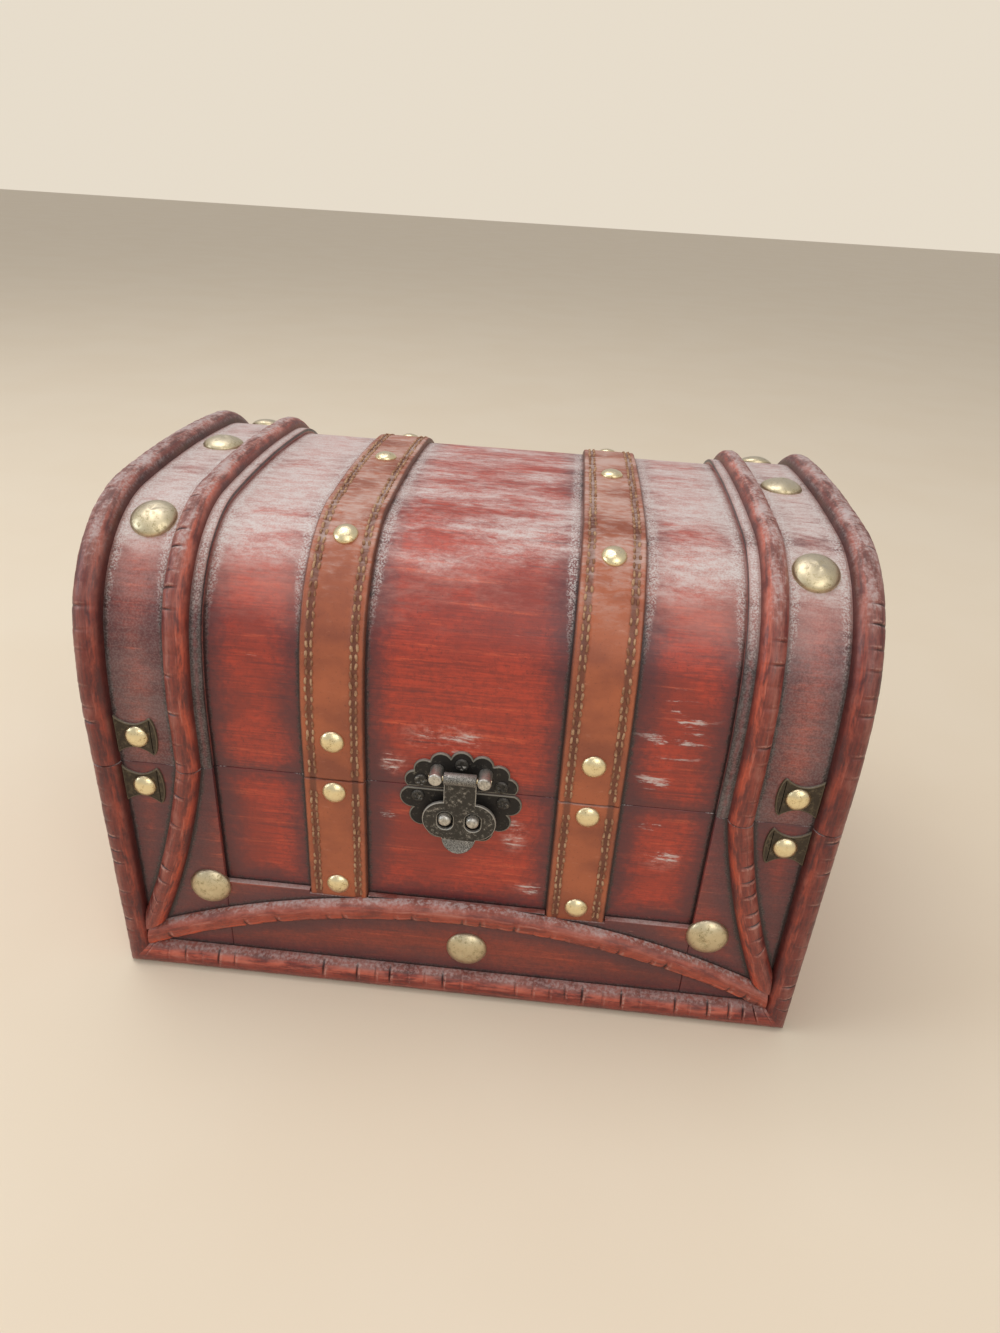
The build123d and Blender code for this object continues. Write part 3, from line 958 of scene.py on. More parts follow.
@dataclass(frozen=True)
class RoundTrim:
    """A moulding laid along a circle on the front of the base."""

    middle: tuple[float, float]
    radius: float
    width: float = SIZES.inner_width
    proud: float = SIZES.inner_proud

    def beside(self, x: Value, z: Value) -> Value:
        """Distance in millimetres past either side of the moulding."""
        return abs(self.from_middle(x, z) - self.radius / MM) - self.width / 2 / MM

    def from_middle(self, x: Value, z: Value) -> Value:
        """Distance in millimetres from the circle's middle, for places given in millimetres."""
        across, rise = x - self.middle[0] / MM, z - self.middle[1] / MM
        return (across * across + rise * rise) ** 0.5


ARCH_TOP = 37.8 * MM
ARCH_RADIUS = 260.0 * MM
ARCH = RoundTrim((0.0, ARCH_TOP - ARCH_RADIUS), ARCH_RADIUS)
BRACKET_SLOPE = math.radians(10.0)
BRACKET_RADIUS = 312.0 * MM
BRACKET = RoundTrim(
    (
        SIZES.inner_x + BRACKET_RADIUS * math.cos(BRACKET_SLOPE),
        SIZES.seam + BRACKET_RADIUS * math.sin(BRACKET_SLOPE),
    ),
    BRACKET_RADIUS,
)


class Zone(Enum):
    """Where a wooden piece sits, which decides where its dark edges and dust lie."""

    LID_PANEL = "lid_panel"
    BASE_PANEL = "base_panel"
    LID_BAND = "lid_band"
    BASE_BAND = "base_band"
    LEDGE = "ledge"
    SIDE = "side"


LID_SCUFFS = (
    (65.0, 118.0, 15.0, 16.0, 0.0), (-6.0, 107.5, 17.0, 8.0, 0.95), (60.0, 99.0, 9.0, 4.0, 0.0),
    (-22.0, 97.0, 6.0, 6.0, 0.7),
)
BASE_SCUFFS = (
    (66.0, 81.0, 14.0, 4.0, 0.0), (66.0, 69.0, 9.0, 7.0, 0.5), (-24.0, 76.0, 6.0, 3.0, 0.0),
    (24.0, 50.0, 8.0, 4.0, 0.4), (18.0, 72.0, 6.0, 9.0, 0.8),
)


@dataclass(frozen=True)
class RedWood:
    """Red-stained wood with a fine level grain, purple-dark where it meets the trim with painted shade in the
    channel beside it, dusty on top with a painted sheen on the shoulder.
    """

    name: str
    zone: Zone
    bright: Colour = (0.430, 0.046, 0.022)
    deep: Colour = (0.215, 0.028, 0.019)
    veil: float = 0.0
    dusting: float = 1.0
    scuffs: tuple[tuple[float, float, float, float, float], ...] = ()
    streak: Colour = (0.66, 0.125, 0.050)
    edge: Colour = (0.075, 0.022, 0.028)
    black: Colour = (0.016, 0.010, 0.011)
    dust: Colour = (0.600, 0.550, 0.530)
    # haze is the colour of the dust veil with painted sheen on the shoulder, and of smeared scuffs.
    haze: Colour = (0.52, 0.235, 0.195)

    def grain(self, along: float, across: float) -> Triple:
        """Waves per metre along and across the grain, which runs from front to back on the chest's ends."""
        return (across, along, across) if self.zone is Zone.SIDE else (along, across, across)

    def margin(self, shader: Shader) -> tuple[Value, Value]:
        """Distances in millimetres to the trim beside a panel and to its edge at the seam.

        Args:
            shader: The material under construction.

        Returns:
            Distance to the nearest trim, and to the seam.
        """
        x, y, z = shader.axes()
        strap_side = abs(abs(x) - SIZES.strap_x / MM) - SIZES.strap_width / 2 / MM
        seam = abs(z - SIZES.seam / MM)
        if self.zone is Zone.LID_PANEL:
            return strap_side.least(SIZES.band_inner_x / MM - abs(x)), seam
        if self.zone is Zone.BASE_PANEL:
            sides = strap_side.least(SIZES.band_inner_x / MM - abs(x))
            return sides.least(z - SIZES.ledge_z / MM), seam
        edge = abs(abs(x) - SIZES.edge_x / MM) - SIZES.edge_width / 2 / MM
        if self.zone is Zone.LID_BAND:
            inner = abs(abs(x) - SIZES.inner_x / MM) - SIZES.inner_width / 2 / MM
            return inner.least(edge).least(abs(x) - SIZES.band_inner_x / MM), seam
        behind = y.step(-1.0, 1.0) * 200.0
        arch = ARCH.beside(x, z) + behind
        rail = z - SIZES.rail_width / MM
        if self.zone is Zone.BASE_BAND:
            bracket = BRACKET.beside(abs(x), z) + behind
            return bracket.least(edge).least(arch).least(rail), seam
        if self.zone is Zone.LEDGE:
            return arch.least(rail), seam
        foot = z.least(SIZES.half_depth / MM - abs(y))
        return foot.most(0.0) + 2.0, seam

    def build(self) -> Material:
        """Makes the material: grain, dark margins, painted shade and dust speckle in the channels, then dust
        and a painted sheen on the shoulder.

        Returns:
            The material.
        """
        shader = Shader(self.name)
        x, y, z = shader.axes()
        up = shader.upward()
        fibre = shader.noise(self.grain(80.0, 1500.0), 5.0, 0.68)
        streaks = shader.noise(self.grain(24.0, 420.0), 5.0, 0.66, warp=0.2)
        clouds = shader.noise((24.0, 34.0, 34.0), 4.0, 0.62, warp=0.4)
        fuzz = shader.noise(520.0, 3.0, 0.62)
        grit = shader.noise(1700.0, 2.0, 0.7)
        near, seam = self.margin(shader)
        _, normal_y, normal_z = shader.normals()
        outward = y * normal_y + (z - SIZES.seam / MM) * normal_z
        end = SIZES.half_length / MM
        hidden = outward.step(1.0, -1.0) + abs(x).step(end - 0.7, end - 0.3)
        near = near + hidden * 400.0
        ragged = near + (fuzz - 0.5) * 5.0 + (clouds - 0.5) * 9.0
        ragged_seam = seam + (fuzz - 0.5) * 3.0 + (clouds - 0.5) * 6.0

        mixed = fibre * 0.55 + streaks * 0.25 + fuzz * 0.20
        colour = shader.colour(self.deep).towards(self.bright, mixed.step(0.36, 0.60))
        colour = colour.towards(self.deep, clouds.step(0.54, 0.34) * 0.75)
        colour = colour.towards(self.streak, streaks.step(0.54, 0.72) * fibre.step(0.40, 0.64) * 0.70)
        colour = colour.towards(self.edge, streaks.step(0.42, 0.28) * mixed.step(0.60, 0.44) * 0.65)
        colour = colour.towards(self.deep, grit.step(0.56, 0.38) * fuzz.step(0.62, 0.38) * 0.50)
        colour = colour.towards(self.edge, ragged.step(11.0, 1.2) * 0.82)
        colour = colour.towards(self.edge, ragged_seam.step(6.0, 0.4) * 0.66)
        # Painted shade: the wood is darkened nearly to black in the narrow channel within two millimetres of
        # the trim.
        trim_shade = (near + (fuzz - 0.5) * 2.4).step(1.9, 0.5)
        colour = colour.towards(self.black, trim_shade * 0.88)
        pits = grit.step(0.38, 0.28) * shader.noise((90.0, 150.0, 150.0), 3.0).step(0.40, 0.60)
        colour = colour.towards(self.black, pits * 0.50)

        patch = shader.noise((22.0, 60.0, 60.0), 5.0, 0.66, warp=0.4)
        wipe = shader.noise((150.0, 420.0, 420.0), 6.0, 0.80, warp=0.3)
        open_seam = seam.step(0.6, 2.2)
        lift = up.step(0.12, 0.90) * open_seam
        side = abs(x).step(22.0, 70.0) * 0.10 + x.step(10.0, -60.0) * 0.045
        # Dust veil and painted sheen: a pale reddish-grey haze on the up-facing shoulder stands partly for
        # dust and partly for the gloss that light puts there; dusting scales it too.
        haze = (patch * 0.55 + wipe * 0.45 + side + lift * 0.16).step(0.54, 0.82) * lift
        colour = colour.towards(self.haze, haze * (0.62 * self.dusting))
        top = up.step(0.56, 1.0) * open_seam
        clear = near.step(0.2, 2.6) * 0.7 + 0.3
        settled = (patch * 0.72 + wipe * 0.28 + side + top * 0.20).step(0.60, 0.86)
        settled = settled * top.step(0.0, 0.6) * clear
        dusty = settled * ((wipe * 0.6 + grit * 0.4).step(0.38, 0.60) * 0.62 + 0.32)
        colour = colour.towards(self.dust, dusty * (0.95 * self.dusting))
        reach = up.step(0.1, 0.95) * 2.2 + 1.1
        lint = ((near + (fuzz - 0.5) * 3.0) / reach).step(1.35, 0.75) * near.step(0.2, 0.9)
        speckle = grit.step(0.40, 0.66) * (up.step(0.2, 0.9) * 0.82 + 0.06)
        colour = colour.towards(self.dust, lint * speckle * 0.95)
        scuffed = shader.noise((42.0, 300.0, 300.0), 5.0, 0.72, warp=0.3)
        colour = colour.towards(self.haze, scuffed.step(0.66, 0.74) * wipe.step(0.46, 0.60) * 0.62)
        for centre_x, centre_z, half_x, half_z, smeared in self.scuffs:
            across, rise = (x - centre_x) / half_x, (z - centre_z) / half_z
            inside = ((across * across + rise * rise) ** 0.5).step(1.0, 0.35) * y.step(0.0, -5.0)
            marks = (scuffed * 0.72 + wipe * 0.28 + inside * 0.07).step(0.585, 0.655)
            smear = (wipe * 0.5 + fuzz * 0.2 + patch * 0.3).step(0.46, 0.62)
            colour = colour.towards(self.haze, smear * inside * smeared)
            colour = colour.towards(self.dust, marks * inside * 0.78)
        film = grit.step(0.42, 0.62) * 0.55 + patch.step(0.35, 0.65) * 0.45
        colour = colour.towards(self.dust, film * self.veil)

        relief = fibre * 0.45 + fuzz * 0.35 + wipe * 0.2 + (lint * grit) * 1.4
        rough = 0.33 + fibre * 0.16 + lift * 0.12 + dusty * 0.28
        return shader.finish(colour, rough, relief=relief, coat=0.12, specular=0.50)


@dataclass(frozen=True)
class MouldingWood:
    """Darker carved mouldings, notched across, with bright edges that are partly wear and partly painted
    highlight, painted shade in the notches and at the foot, a painted sheen and dust on top.
    """

    name: str
    # worn scales the bright edge streak, which is partly wear and partly painted highlight, and the pale
    # ridges.
    worn: float = 0.5
    red: Colour = (0.175, 0.027, 0.019)
    dark: Colour = (0.070, 0.016, 0.017)
    bright_side: float = 1.0
    dusting: float = 0.8
    bright: Colour = (0.58, 0.090, 0.036)
    pale: Colour = (0.46, 0.25, 0.20)
    black: Colour = (0.014, 0.007, 0.008)
    dust: Colour = (0.50, 0.43, 0.42)

    def build(self) -> Material:
        """Makes the material from the run's own UV map, the notches it carries and its upward faces.

        Returns:
            The material.
        """
        shader = Shader(self.name)
        across = shader.across()
        lay, notch, lip = shader.laid(), shader.attribute("notch"), shader.attribute("lip")
        up = shader.upward()
        fibre = shader.noise((90.0, 1100.0, 1.0), 5.0, 0.66, source=lay)
        patch = shader.noise((75.0, 190.0, 1.0), 4.0, 0.64, source=lay, warp=0.3)
        fuzz = shader.noise(900.0, 3.0, 0.64)
        mixed = fibre * 0.45 + patch * 0.40 + fuzz * 0.15
        colour = shader.colour(self.dark).towards(self.red, mixed.step(0.38, 0.58))
        # Partly wear, partly painted highlight: a bright orange streak along one side of the moulding, where
        # light catches it.
        wear_and_highlight_edge = abs(across * self.bright_side - 2.3).step(1.7, 0.3)
        flare = (patch * 0.6 + fibre * 0.4).step(0.42, 0.62)
        colour = colour.towards(self.bright, wear_and_highlight_edge * flare * self.worn)
        ridge = abs(abs(across) - 1.5).step(0.8, 0.1) * fibre.step(0.50, 0.66)
        colour = colour.towards(self.pale, ridge * self.worn * 0.40)
        colour = colour.towards(self.pale, lip.step(0.05, 0.6) * fuzz.step(0.38, 0.60) * 0.70)
        sheen = (patch + up * 0.35).step(0.50, 0.90)
        colour = colour.towards(self.pale, sheen * 0.30)
        dust = (fuzz * 0.40 + patch * 0.60 + up * 0.22).step(0.62, 0.84) * up.step(0.30, 0.95)
        colour = colour.towards(self.dust, dust * self.dusting)
        # Painted shade: the notch cuts are darkened nearly to black.
        colour = colour.towards(self.black, notch.step(0.12, 0.60) * 0.82)
        # Painted shade: the moulding's foot is darkened where it meets the board, except on upward faces.
        foot = (abs(across) + (fuzz - 0.5) * 0.8).step(3.3, 4.3)
        colour = colour.towards(self.black, foot * up.step(1.0, 0.5) * 0.55)
        lint = foot * up.step(0.2, 0.9) * fuzz.step(0.42, 0.62)
        colour = colour.towards(self.dust, lint * (0.15 + 0.7 * self.dusting))
        relief = fibre * 0.4 + fuzz * 0.6 + patch * 0.8
        rough = 0.34 + fibre * 0.12 + up.step(0.2, 1.0) * 0.22
        return shader.finish(colour, rough, relief=relief, relief_depth=0.22 * MM, coat=0.10, specular=0.45)


@dataclass(frozen=True)
class Leather:
    """Smooth saddle leather, darker at its cut edges and marked under the stitches."""

    name: str = "leather"
    tan: Colour = (0.385, 0.104, 0.042)
    deep: Colour = (0.235, 0.060, 0.029)
    pale: Colour = (0.50, 0.215, 0.135)
    dark: Colour = (0.065, 0.024, 0.016)
    dust: Colour = (0.56, 0.46, 0.42)

    def build(self) -> Material:
        """Makes the material: slow mottling, fine pores, dark cut edges, dark stitch tracks and dust.

        Returns:
            The material.
        """
        shader = Shader(self.name)
        across = shader.across()
        up = shader.upward()
        slow = shader.noise((45.0, 60.0, 60.0), 4.0, 0.6)
        pores = shader.noise(1300.0, 3.0, 0.6)
        crease = shader.noise((190.0, 520.0, 520.0), 4.0, 0.65, warp=0.5)
        colour = shader.colour(self.deep).towards(self.tan, slow.step(0.28, 0.66))
        colour = colour.towards(self.pale, crease.step(0.60, 0.78) * 0.45)
        colour = colour.towards(self.dark, pores.step(0.40, 0.28) * 0.35)
        edge = (abs(across) + (crease - 0.5) * 0.8).step(9.1, 9.9)
        colour = colour.towards(self.dark, edge * 0.75)
        track = (abs(abs(across) - STITCHES.middle / MM) + (pores - 0.5) * 1.2).step(1.5, 0.7)
        colour = colour.towards(self.dark, track * (0.40 + pores * 0.45))
        haze = (crease * 0.5 + slow * 0.5 + up * 0.22).step(0.60, 0.86) * up.step(0.3, 0.98)
        colour = colour.towards(self.dust, haze * 0.62)
        relief = pores * 0.4 + crease * 0.9
        rough = 0.42 + slow * 0.15 + up.step(0.4, 1.0) * 0.18
        return shader.finish(colour, rough, relief=relief, relief_depth=0.10 * MM, specular=0.45, coat=0.12)


@dataclass(frozen=True)
class Thread:
    """Pale waxed thread with a twisted surface."""

    name: str = "thread"
    pale: Colour = (0.44, 0.270, 0.160)
    brown: Colour = (0.21, 0.085, 0.045)

    def build(self) -> Material:
        """Makes the material: pale thread, browned in patches.

        Returns:
            The material.
        """
        shader = Shader(self.name)
        patch = shader.noise(230.0, 4.0, 0.65)
        twist = shader.noise((2500.0, 900.0, 900.0), 2.0, 0.6)
        colour = shader.colour(self.pale).towards(self.brown, patch.step(0.40, 0.60) * 0.90)
        colour = colour.towards(self.brown, twist.step(0.46, 0.34) * 0.45)
        return shader.finish(colour, 0.72, relief=twist, relief_depth=0.05 * MM, specular=0.25)


@dataclass(frozen=True)
class OldMetal:
    """Patinated metal: a polished tone, a tarnish in mottles and a dark film in its hollows."""

    name: str
    polish: Colour
    tarnish: Colour
    film: Colour
    cover: float = 0.5
    grain: float = 260.0
    rough: float = 0.34
    shine: float = 0.9
    rim: str = ""

    def build(self) -> Material:
        """Makes the material; a rim attribute, where the piece carries one, shows worn bright edges.

        Returns:
            The material.
        """
        shader = Shader(self.name)
        grain = self.grain
        mottle = shader.noise(grain, 5.0, 0.65)
        fine = shader.noise(grain * 5, 3.0, 0.6)
        up = shader.upward()
        covered = (mottle * 0.7 + fine * 0.3).step(self.cover + 0.10, self.cover - 0.12)
        colour = shader.colour(self.polish).towards(self.tarnish, covered)
        dark = (fine * 0.5 + mottle * 0.5).step(0.43, 0.33)
        colour = colour.towards(self.film, dark * 0.8)
        metal = 1.0 - covered * (1.0 - self.shine) - dark * 0.3
        if self.rim:
            rim = shader.attribute(self.rim)
            worn = (rim + (fine - 0.5) * 0.9).step(0.45, 0.85)
            colour = colour.towards(self.polish, worn * 0.85)
            hollow = (rim + (mottle - 0.5) * 0.5).step(-0.15, -0.75)
            colour = colour.towards(self.film, hollow * 0.9)
        dust = (up + (fine - 0.5) * 0.9).step(0.55, 1.2)
        colour = colour.towards((0.50, 0.45, 0.42), dust * 0.55)
        rough = self.rough + covered * 0.22 + fine * 0.1
        relief = mottle * 0.6 + fine * 0.4
        return shader.finish(colour, rough, metal.most(0.0), relief=relief)


class Finishes:
    """Every material of the chest, made once."""

    def __init__(self) -> None:
        """Makes every material."""
        self.lid_panel = RedWood("lid_panel_wood", Zone.LID_PANEL, scuffs=LID_SCUFFS).build()
        self.base_panel = RedWood("base_panel_wood", Zone.BASE_PANEL, dusting=0.6, scuffs=BASE_SCUFFS).build()
        self.lid_band = RedWood(
            "lid_band_wood", Zone.LID_BAND, (0.30, 0.058, 0.042), (0.16, 0.040, 0.034), 0.16
        ).build()
        self.base_band = RedWood(
            "base_band_wood", Zone.BASE_BAND, (0.27, 0.038, 0.026), (0.14, 0.026, 0.021), 0.03, 0.5
        ).build()
        self.ledge = RedWood(
            "ledge_wood", Zone.LEDGE, (0.27, 0.040, 0.022), (0.155, 0.028, 0.019), 0.02, 0.55
        ).build()
        self.box = RedWood(
            "box_wood", Zone.SIDE, (0.33, 0.042, 0.024), (0.17, 0.026, 0.019), dusting=0.12
        ).build()
        self.edge_moulding = MouldingWood("edge_moulding_wood", 0.35).build()
        self.rail = MouldingWood(
            "rail_wood", 0.7, (0.26, 0.036, 0.022), (0.10, 0.020, 0.018), -1.0, 0.22
        ).build()
        self.inner_moulding = MouldingWood(
            "inner_moulding_wood", 0.8, (0.24, 0.042, 0.027), (0.10, 0.022, 0.02)
        ).build()
        self.arch = MouldingWood(
            "arch_wood", 1.0, (0.33, 0.052, 0.026), (0.15, 0.030, 0.022), -1.0, 0.6
        ).build()
        self.leather = Leather().build()
        self.thread = Thread().build()
        self.small_nail = OldMetal(
            "pale_brass", (0.86, 0.74, 0.46), (0.60, 0.47, 0.24), (0.20, 0.11, 0.05), 0.42, 420.0, 0.26
        ).build()
        self.big_nail = OldMetal(
            "aged_brass", (0.66, 0.57, 0.38), (0.42, 0.35, 0.20), (0.16, 0.12, 0.06), 0.44, 520.0
        ).build()
        self.bronze = OldMetal(
            "old_bronze", (0.26, 0.245, 0.21), (0.034, 0.031, 0.029), (0.010, 0.009, 0.009),
            0.66, 480.0, 0.34, 0.75, rim="rim",
        ).build()
        self.worn_bronze = OldMetal(
            "worn_bronze", (0.47, 0.45, 0.41), (0.060, 0.056, 0.050), (0.014, 0.013, 0.012),
            0.63, 700.0, 0.32, 0.8, rim="rim",
        ).build()
        self.steel = OldMetal(
            "worn_lug_metal", (0.62, 0.60, 0.55), (0.30, 0.28, 0.24), (0.07, 0.06, 0.05), 0.48, 520.0
        ).build()
        self.plate = OldMetal(
            "olive_bronze", (0.190, 0.155, 0.105), (0.072, 0.056, 0.040), (0.024, 0.018, 0.014),
            0.60, 480.0, 0.42, 0.7, rim="rim",
        ).build()
        self.hinge = OldMetal(
            "brass", (0.66, 0.50, 0.24), (0.30, 0.20, 0.08), (0.08, 0.05, 0.02), 0.5, 300.0
        ).build()


def slow_wave(run: Array, length: float, rng: np.random.Generator, height: float = 0.05 * MM) -> Array:
    """A wave of a given length along a run, height * sin(2 pi run / length + phase), from a random phase."""
    return height * np.sin(run / length * 2 * math.pi + rng.uniform(0, 6.3))


def square_end(across: Array) -> Array:
    """An end cut square: no trim at any place across."""
    return np.zeros_like(across)


@dataclass(frozen=True)
class NotchPlan:
    """Shallow cuts across a moulding."""

    pitch: float = 6.2 * MM
    wander: float = 0.8 * MM
    depth: float = 0.80 * MM
    half_width: float = 0.40 * MM

    def places(self, length: float, rng: np.random.Generator) -> Array:
        """Distances of the cuts along a run, evenly pitched with a little wander."""
        count = max(1, int(length / self.pitch))
        return (np.arange(count) + 0.5) * length / count + rng.uniform(-self.wander, self.wander, count)


@dataclass
class Moulding:
    """Half-round moulding carried along a run, notched across like the carved original.

    Attributes:
        node: Node that it stands for, whose first word is its body.
        path: Run along its foot.
        width: Width of its foot.
        proud: Height of its crown.
        material: Its finish.
        seed: Seed of its small differences.
        start_trim: Length trimmed off the start, for a place across.
        end_trim: Length trimmed off the end, for a place across.
        notches: The cuts across it.
        reach: Length over which a trimmed end is eased into the run.
        columns: Points across it.
        spare: Length that the run is carried on past its ends.
    """

    node: str
    path: Path
    width: float
    proud: float
    material: Material
    seed: int
    start_trim: Trim = square_end
    end_trim: Trim = square_end
    notches: NotchPlan = NotchPlan()
    reach: float = 16.0 * MM
    columns: int = 17
    spare: float = 12.0 * MM

    def runs(self, cuts: Array) -> Array:
        """Distances of the rows: close together round every cut, wider apart between them.

        Args:
            cuts: Distances of the cuts.

        Returns:
            The distances, in order.
        """
        near = (cuts[:, None] + np.array([-2.2, -1.1, 0.0, 1.1, 2.2, 3.4]) * self.notches.half_width).ravel()
        even = np.linspace(0.0, self.path.length, max(3, int(self.path.length / (1.7 * MM))))
        apart = np.min(np.abs(even[:, None] - near[None, :]), axis=1) > 0.35 * MM
        apart[[0, -1]] = True
        near = near[(near > 0.3 * MM) & (near < self.path.length - 0.3 * MM)]
        rows = np.sort(np.concatenate([even[apart], near]))
        return rows[np.concatenate([[True], np.diff(rows) > 0.02 * MM])]

    def build(self) -> Piece:
        """Makes the piece.

        The section is u = half width * cos t, v = proud * sin t ^ 0.92; a cut lowers v by its depth
        times exp(-(distance / half width)^2); slow waves of a tenth of a millimetre shift both.

        Returns:
            The mounted piece.
        """
        rng = np.random.default_rng(self.seed)
        cuts = self.notches.places(self.path.length, rng)
        rows = self.runs(cuts)
        turn = np.linspace(0.0, math.pi, self.columns)
        u = self.width / 2 * np.cos(turn)
        v = self.proud * np.sin(turn) ** 0.92
        slant = rng.uniform(-0.06, 0.06, len(cuts))
        depth = self.notches.depth * rng.uniform(0.1, 1.25, len(cuts))
        offset = rows[:, None, None] - (cuts[:, None] + slant[:, None] * u)
        bell = np.exp(-((offset / self.notches.half_width) ** 2))
        weight = np.clip(v / self.proud, 0.0, 1.0)
        nicked = np.clip(0.42 - 1.5 * u / self.width, 0.06, 1.0) * weight
        notch = np.sum(bell * depth[:, None], axis=1) * nicked
        lip_bell = np.exp(-(((offset - 2.2 * self.notches.half_width) / self.notches.half_width) ** 2))
        lip = np.sum(lip_bell * (depth / self.notches.depth)[:, None], axis=1) * nicked
        waves, sway = np.zeros((2, len(rows)))
        for length in (31.0 * MM, 13.0 * MM, 5.3 * MM):
            waves += slow_wave(rows, length, rng)
            sway += slow_wave(rows, length, rng)
        grain = rng.normal(0.0, 0.035 * MM, (len(rows), self.columns))
        height = np.maximum(v + (waves[:, None] + grain) * weight - notch, 0.0)
        shift = u + sway[:, None] * weight
        height[:, [0, -1]] = -0.4 * MM
        head = np.clip(1 - rows / self.reach, 0.0, 1.0)[:, None]
        tail = np.clip(1 - (self.path.length - rows) / self.reach, 0.0, 1.0)[:, None]
        moved = rows[:, None] + head * self.start_trim(u) - tail * self.end_trim(u)
        flat = self.extended().at(moved.ravel())
        points = flat.points + flat.across * shift.reshape(-1, 1) + flat.out * height.reshape(-1, 1)
        pairs = np.stack([moved, np.broadcast_to(u, moved.shape)], axis=-1).reshape(-1, 2)
        piece = Piece(f"{self.node}_wood", points, grid_faces(len(rows), self.columns), sharp=50.0).lay(pairs)
        piece.mark("notch", np.clip(notch / self.notches.depth, 0.0, 1.0)).mark("lip", np.clip(lip, 0.0, 1.0))
        return piece.dress(self.material).mount(self.node.split("_")[0], "moulding_wood", self.node)

    def extended(self) -> Path:
        """The run carried on straight past both its ends, so that a trim may also lengthen it.

        Returns:
            The longer run, whose distances start below zero.
        """
        path = self.path
        first = path.points[0] - path.forward[0] * self.spare
        last = path.points[-1] + path.forward[-1] * self.spare
        out, across = (np.vstack([rows[:1], rows, rows[-1:]]) for rows in (path.out, path.across))
        run = np.concatenate([[-self.spare], path.run, [path.length + self.spare]])
        return Path(np.vstack([first, path.points, last]), out, across, run)


@dataclass
class Woodwork:
    """The wooden box and its domed lid: boards and raised bands."""

    finishes: Finishes
    ease: float = 0.45 * MM
    fine_ease: float = 0.30 * MM
    band_gap: float = 0.05 * MM
    notch_gap: float = 0.3 * MM

    def board(self, node: str, body: str, material: Material, slot: str = "box_wood") -> Piece:
        """A board in place of a node, to the node's own box.

        Args:
            node: Node that the board stands for.
            body: Body that it rides on.
            material: Its finish.
            slot: Name of the finish.

        Returns:
            The piece.
        """
        low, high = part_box(node)
        return eased_box(f"{node}_wood", low, high, self.ease).dress(material).mount(body, slot, node)

    def bottom_band(self, face: str, side: int) -> Piece:
        """Bottom band of one face, notched where the strap ends are tucked in.

        Args:
            face: Name of the face.
            side: -1 for the front, 1 for the back.

        Returns:
            The piece.
        """
        edge, top, foot = SIZES.band_inner_x - self.band_gap, SIZES.ledge_z, SIZES.strap_foot
        half = SIZES.strap_width / 2 + self.notch_gap
        notches = []
        for centre in SIZES.straps:
            left, right = centre - half, centre + half
            notches += [(left, top), (left, foot), (right, foot), (right, top)]
        outline = np.array([(-edge, 0.0), (-edge, top), *notches, (edge, top), (edge, 0.0)])
        place = FRONT if side < 0 else BACK
        low = SIZES.half_depth - SIZES.sunk
        node = f"base_{face}_band_bottom"
        piece = eased_plate(f"{node}_wood", outline, low, SIZES.band_face, self.fine_ease, place)
        return piece.dress(self.finishes.ledge).mount("base", "band_wood", node)

    def end_board(self, name: str, sign: int) -> Piece:
        """D-shaped end of the lid.

        Args:
            name: "left" or "right".
            sign: -1 for the left, 1 for the right.

        Returns:
            The piece.
        """
        points = DOME.path(0.0, -SIZES.sheet).points
        outline = np.column_stack([sign * points[:, 1], points[:, 2]])
        place = Facing((sign * SIZES.half_length, 0.0, 0.0), (0.0, float(sign), 0.0), (0.0, 0.0, 1.0))
        piece = eased_plate(f"lid_{name}_end_wood", outline, -SIZES.wall, 0.0, self.fine_ease, place)
        return piece.dress(self.finishes.box).mount("lid", "box_wood", f"lid_{name}_end")

    def build(self) -> None:
        """Makes the base's boards and bands, then the lid's."""
        for node in ("base_bottom_board", "base_left_panel", "base_right_panel"):
            self.board(node, "base", self.finishes.box)
        for node in ("base_front_panel", "base_back_panel"):
            self.board(node, "base", self.finishes.base_panel, "panel_wood")
        for face, side in FACES:
            self.bottom_band(face, side)
            for name, _ in SIDES:
                self.board(f"base_{face}_band_{name}", "base", self.finishes.base_band, "band_wood")
            self.board(f"lid_{face}_rail", "lid", self.finishes.box)
        path = DOME.path(0.0, 0.0)
        sheet = eased_strip("lid_sheet_wood", path, SIZES.half_length, -SIZES.sheet, 0.0, self.ease)
        sheet.dress(self.finishes.lid_panel).mount("lid", "panel_wood", "lid_sheet")
        half = (SIZES.half_length - SIZES.band_inner_x) / 2
        for name, sign in SIDES:
            self.end_board(name, sign)
            path = DOME.path(sign * (SIZES.half_length - half), 0.0)
            band = eased_strip(
                f"lid_band_{name}_wood", path, half, -SIZES.sunk, SIZES.band, self.fine_ease
            )
            band.dress(self.finishes.lid_band).mount("lid", "band_wood", f"lid_band_{name}")


